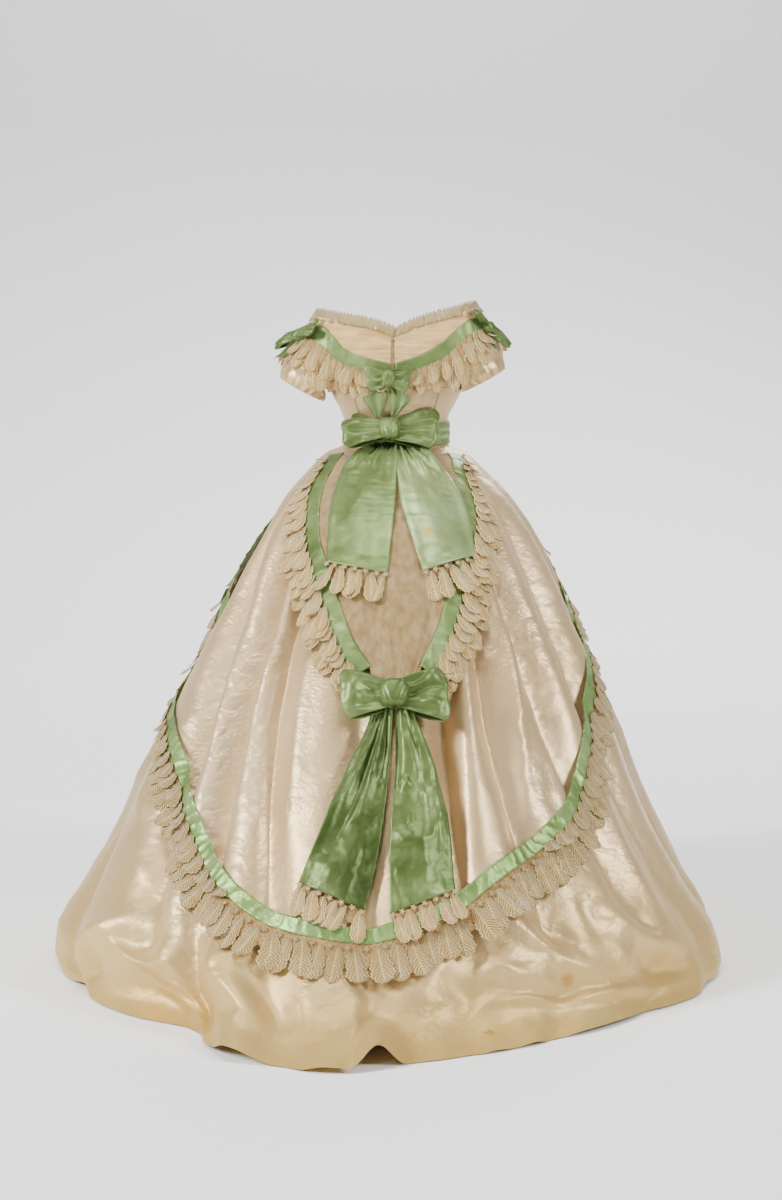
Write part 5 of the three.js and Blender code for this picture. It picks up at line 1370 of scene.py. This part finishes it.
def knot_points(place, width, height, depth, lift):
    latitude, longitude = grid(np.linspace(-86, 86, 26), np.linspace(0, 360, 61)[:-1])
    north, girth, front, east = (
        np.sign(value) * np.abs(value) ** 0.72 for value in (*sine_cosine(latitude), *sine_cosine(longitude))
    )
    x, y = width / 2 * girth * east, height / 2 * north
    # Pleats that meet in the middle of the knot's foot.
    pleats = np.cos((np.abs(x) - 0.35 * y) / width * 30) * sine_cosine(latitude)[1]
    z = lift + depth / 2 * (1 + girth * front * (1 + 0.075 * pleats))
    return place.at(x, y * (1 + 0.03 * pleats), z)


def make_bow_end(name, place, rows):
    table = np.array(rows, float)
    level, share = grid(np.linspace(table[0, 0], table[-1, 0], 40), np.linspace(0, 1, 24))
    left, right, out, fold = (curve(level) for curve in curves(table))
    x = mix(left, right, share)
    z = out + fold * (0.5 - 0.5 * np.cos(share * 4 * math.pi)) + 1.6 * noise(stacked(x, level, 0), 12, 2)
    flip = bool(table[0, 1] > table[0, 2])
    make_sheet("silk_" + name, name, place.at(x, -level, z), TRIM_WALL, SHADED_BOW_SILK, "ribbon", flip=flip)


def make_bow(name, place, knot, loops, ends=()):
    make_sheet(
        f"silk_{name}_knot", name + "_knot", knot_points(place, *knot), 1.0, SHADED_BOW_SILK, "ribbon", closed=True)
    cloths = {}
    for i, (loop, *sizes) in enumerate(loops):
        points = loop_points(place, i + 1.7, *sizes)
        cloths.setdefault(f"{name}_{loop}", Cloth()).add(points, TRIM_WALL, sheet_uv(points), flip=True)
    for loop, cloth in cloths.items():
        cloth.make("silk_" + loop, [SHADED_BOW_SILK], "ribbon", loop)
    for end, rows in ends:
        make_bow_end(f"{name}_{end}", place, rows)


# A knot's row is its width, height, depth and lift; a loop's its angle, length, height, foot,
# puff, lift, flare, creases and roundness; an end has rows of drop, left and right edges, height
# and fold.
PLEATS = [
    (-3.5, 3, 4, [(-10, 12), (-16, 36)]), (-3.5, 3, 4, [(1, 12), (2, 34)]), (-3.5, 3, 4, [(9, 12), (15, 36)]),
]
make_bow(
    "bodice_bow", place_on(bertha_point, 2.2, 125.0, -1), (28, 34, 26, 3),
    [("loop_left", -2, 46, 52, 24, 13, 9, 0.1, PLEATS), ("loop_right", 182, 44, 56, 24, 13, 9, -0.1, PLEATS)],
    [
        ("end_left", [(8, 12, 1, 5, 3), (41, 53, 3, 3.5, 6), (66, 38, 10, -1, 5), (86, 24, 17, -5, 2)]),
        ("end_right", [
            (8, -1, -12, 5, 3), (44, -1.5, -46, 3.5, 6), (66, -4, -29, -1, 5), (84, -6, -13, -5, 2)]),
    ],
)
SHOULDER_KNOT = (22, 26, 22, 1)
FEW_PLEATS = [(-3, 3, 4, [(-6, 10), (-9, 32)]), (-3, 3, 4, [(5, 10), (8, 32)])]
make_bow(
    "shoulder_bow_left", place_on(bertha_point, 62.0, 212.0, -1), SHOULDER_KNOT,
    [
        ("loop_back", 138, 60, 17, 12, 9, 9, 0, FEW_PLEATS, 0.6),
        ("loop_back", 166, 60, 28, 18, 12, 12, 0, FEW_PLEATS, 0.3),
        ("loop_front", -32, 64, 34, 18, 14, 10, 0, FEW_PLEATS, 0.3),
    ],
    [("end", [(4, 6, -8, 4.5, 1), (26, 18, -10, 7, 1.5), (56, 44, 14, 9, 1.5)])],
)
make_bow(
    "shoulder_bow_right", place_on(bertha_point, -60.0, 212.0, -1), SHOULDER_KNOT,
    [
        ("loop_back", 46, 54, 20, 14, 10, 10, 0, FEW_PLEATS, 0.5),
        ("loop_front", 222, 66, 26, 16, 12, 10, 0, FEW_PLEATS, 0.4),
        ("loop_front", 238, 44, 18, 12, 8, 14, 0, FEW_PLEATS, 0.4),
    ],
    [("end", [(8, -6, 8, 4.5, 1), (28, -12, 12, 5, 1.5), (46, -14, 8, 6, 1.5)])],
)
BELT_TILT = math.radians(36)
belt_back = bodice_point(0.0, 4.0, BELT_EASE)
make_bow(
    "belt_bow", Place((14, belt_back[1], 4), (0, math.cos(BELT_TILT), math.sin(BELT_TILT))), (46, 50, 36, 7),
    [("loop_left_upper", 17, 88, 56, 26, 14, 2, 0, [(-5, 5, 6, [(4, 20), (12, 60)])]),
     ("loop_left_lower", -9, 98, 68, 34, 24, 16, 0,
      [(-8, 5, 9, [(4, 26), (7, 60), (8, 88)]), (-5, 5, 5, [(-12, 22), (-20, 60)]),
       (4, 10, 10, [(20, 50), (24, 84)])]),
     ("loop_right", 178, 101, 96, 40, 28, 6, -0.08,
      [(-8, 5, 8, [(-14, 24), (-22, 60), (-26, 92)]), (-9, 5, 8, [(-2, 24), (-4, 60), (-2, 94)]),
       (-7, 5, 7, [(10, 24), (20, 60), (26, 88)]), (5, 12, 9, [(-34, 50), (-40, 84)])])],
)
make_bow(
    "skirt_bow", place_on(skirt_point, -1.0, 470.0, 4), (58, 58, 42, 8),
    [("loop_left", 0, 104, 104, 44, 32, 7, 0.06,
      [(-8, 6, 8, [(-3, 26), (6, 40), (18, 60)]), (-8, 8, 6, [(-12, 30), (-22, 54), (-30, 76)]),
       (6, 26, 26, [(8, 66), (10, 96)])]),
     ("loop_right", 181, 104, 112, 44, 34, 7, 0.06,
      [(-11, 6, 9, [(10, 24), (-4, 42), (-14, 66), (-16, 98)]), (-7, 6, 7, [(-14, 26), (-32, 48), (-52, 70)]),
       (7, 16, 14, [(16, 50), (22, 70), (24, 92)]), (-7, 7, 7, [(26, 34), (36, 60), (34, 84)]),
       (6, 10, 12, [(-34, 60), (-38, 88)])])],
)

# ---------- Light, floor and camera ----------


PAPER_HALF_WIDTH = 14.0
PAPER_FRONT, PAPER_BACK = 12.0, -7.5
PAPER_BEND = 3.0
PAPER_HEIGHT = 9.0
BEND_STEPS = 24
FLOOR_CLEARANCE = 0.0025


def light(name, place, aim, size, power):
    data = bpy.data.lights.new(name, "AREA")
    data.shape = "RECTANGLE"
    data.size, data.size_y = size
    data.energy = power
    lamp = add_object(name, data)
    lamp.location = place
    lamp.rotation_mode = "QUATERNION"
    lamp.rotation_quaternion = (Vector(aim) - Vector(place)).to_track_quat("-Z", "Y")


def paper_finish():
    """Pale paper that darkens up the backdrop, a painted shade, and can't be seen from behind."""
    paper = Finish("studio_paper", 0.9, sheen=0.0, specular=0.1)
    # Painted shade: the paper is brightest on the floor and darker up the backdrop.
    height = paper.scale_and_add(paper.axes("Object")["Z"], 0.5, 0.55)
    material = paper.done(paper.ramp(height, (0.0, (1.0, 1.0, 0.995)), (1.0, (0.64, 0.64, 0.64))))
    behind, clear = paper.node("NewGeometry", {}, "Backfacing"), paper.node("BsdfTransparent", {})
    seen = paper.node("MixShader", {0: behind, 1: paper.shader.outputs[0], 2: clear})
    paper.links.new(seen, paper.nodes["Material Output"].inputs["Surface"])
    return material


def make_stage():
    """A sheet of paper that lies on the floor and bends up into a backdrop."""
    floor_z = -FLOOR_DROP * MM - FLOOR_CLEARANCE
    profile = [(PAPER_FRONT, floor_z)]
    for turn in np.linspace(0, math.pi / 2, BEND_STEPS + 1):
        y = PAPER_BACK + PAPER_BEND * (1 - math.sin(turn))
        profile.append((y, floor_z + PAPER_BEND * (1 - math.cos(turn))))
    profile.append((PAPER_BACK, floor_z + PAPER_HEIGHT))
    vertices = [(x, y, z) for y, z in profile for x in (-PAPER_HALF_WIDTH, PAPER_HALF_WIDTH)]
    faces = [(2 * i + 1, 2 * i, 2 * i + 2, 2 * i + 3) for i in range(len(profile) - 1)]
    mesh = bpy.data.meshes.new("studio_floor")
    mesh.from_pydata(vertices, [], faces)
    mesh.polygons.foreach_set("use_smooth", [True] * len(faces))
    mesh.materials.append(paper_finish())
    add_object("studio_floor", mesh)


make_stage()
world = bpy.data.worlds.new("studio")
world.use_nodes = True
background = world.node_tree.nodes["Background"]
background.inputs["Color"].default_value = (1, 1, 1, 1)
background.inputs["Strength"].default_value = 0.06
bpy.context.scene.world = world
light("key", (4.7, 3.0, 2.4), (0, 0.2, -0.5), (0.8, 2.2), 570)
light("fill", (-4.6, 3.2, 2.4), (0, 0.2, -0.4), (0.8, 2.2), 320)
light("front", (1.6, 6.2, 3.4), (0, 0.2, -0.6), (1.2, 1.2), 45)
light("top", (0.3, 1.0, 4.2), (0, 0.1, -0.5), (2.4, 2.4), 150)
light("far_side", (-1.8, -5.0, 3.0), (0, -0.3, -0.4), (2.0, 2.0), 170)
light("backdrop", (0.0, -3.6, 4.4), (0, -7.5, 0.6), (6.0, 1.5), 385)

CAMERA_HEIGHT = 0.44
CAMERA_DOWN = 7.52
camera_data = bpy.data.cameras.new("camera")
camera_data.lens = 85.7
camera_data.sensor_width = 36
camera = add_object("camera", camera_data)
camera.location = (0.0105, 6.0, CAMERA_HEIGHT)
camera.rotation_euler = (math.radians(90 - CAMERA_DOWN), 0, math.radians(180))
bpy.context.scene.camera = camera
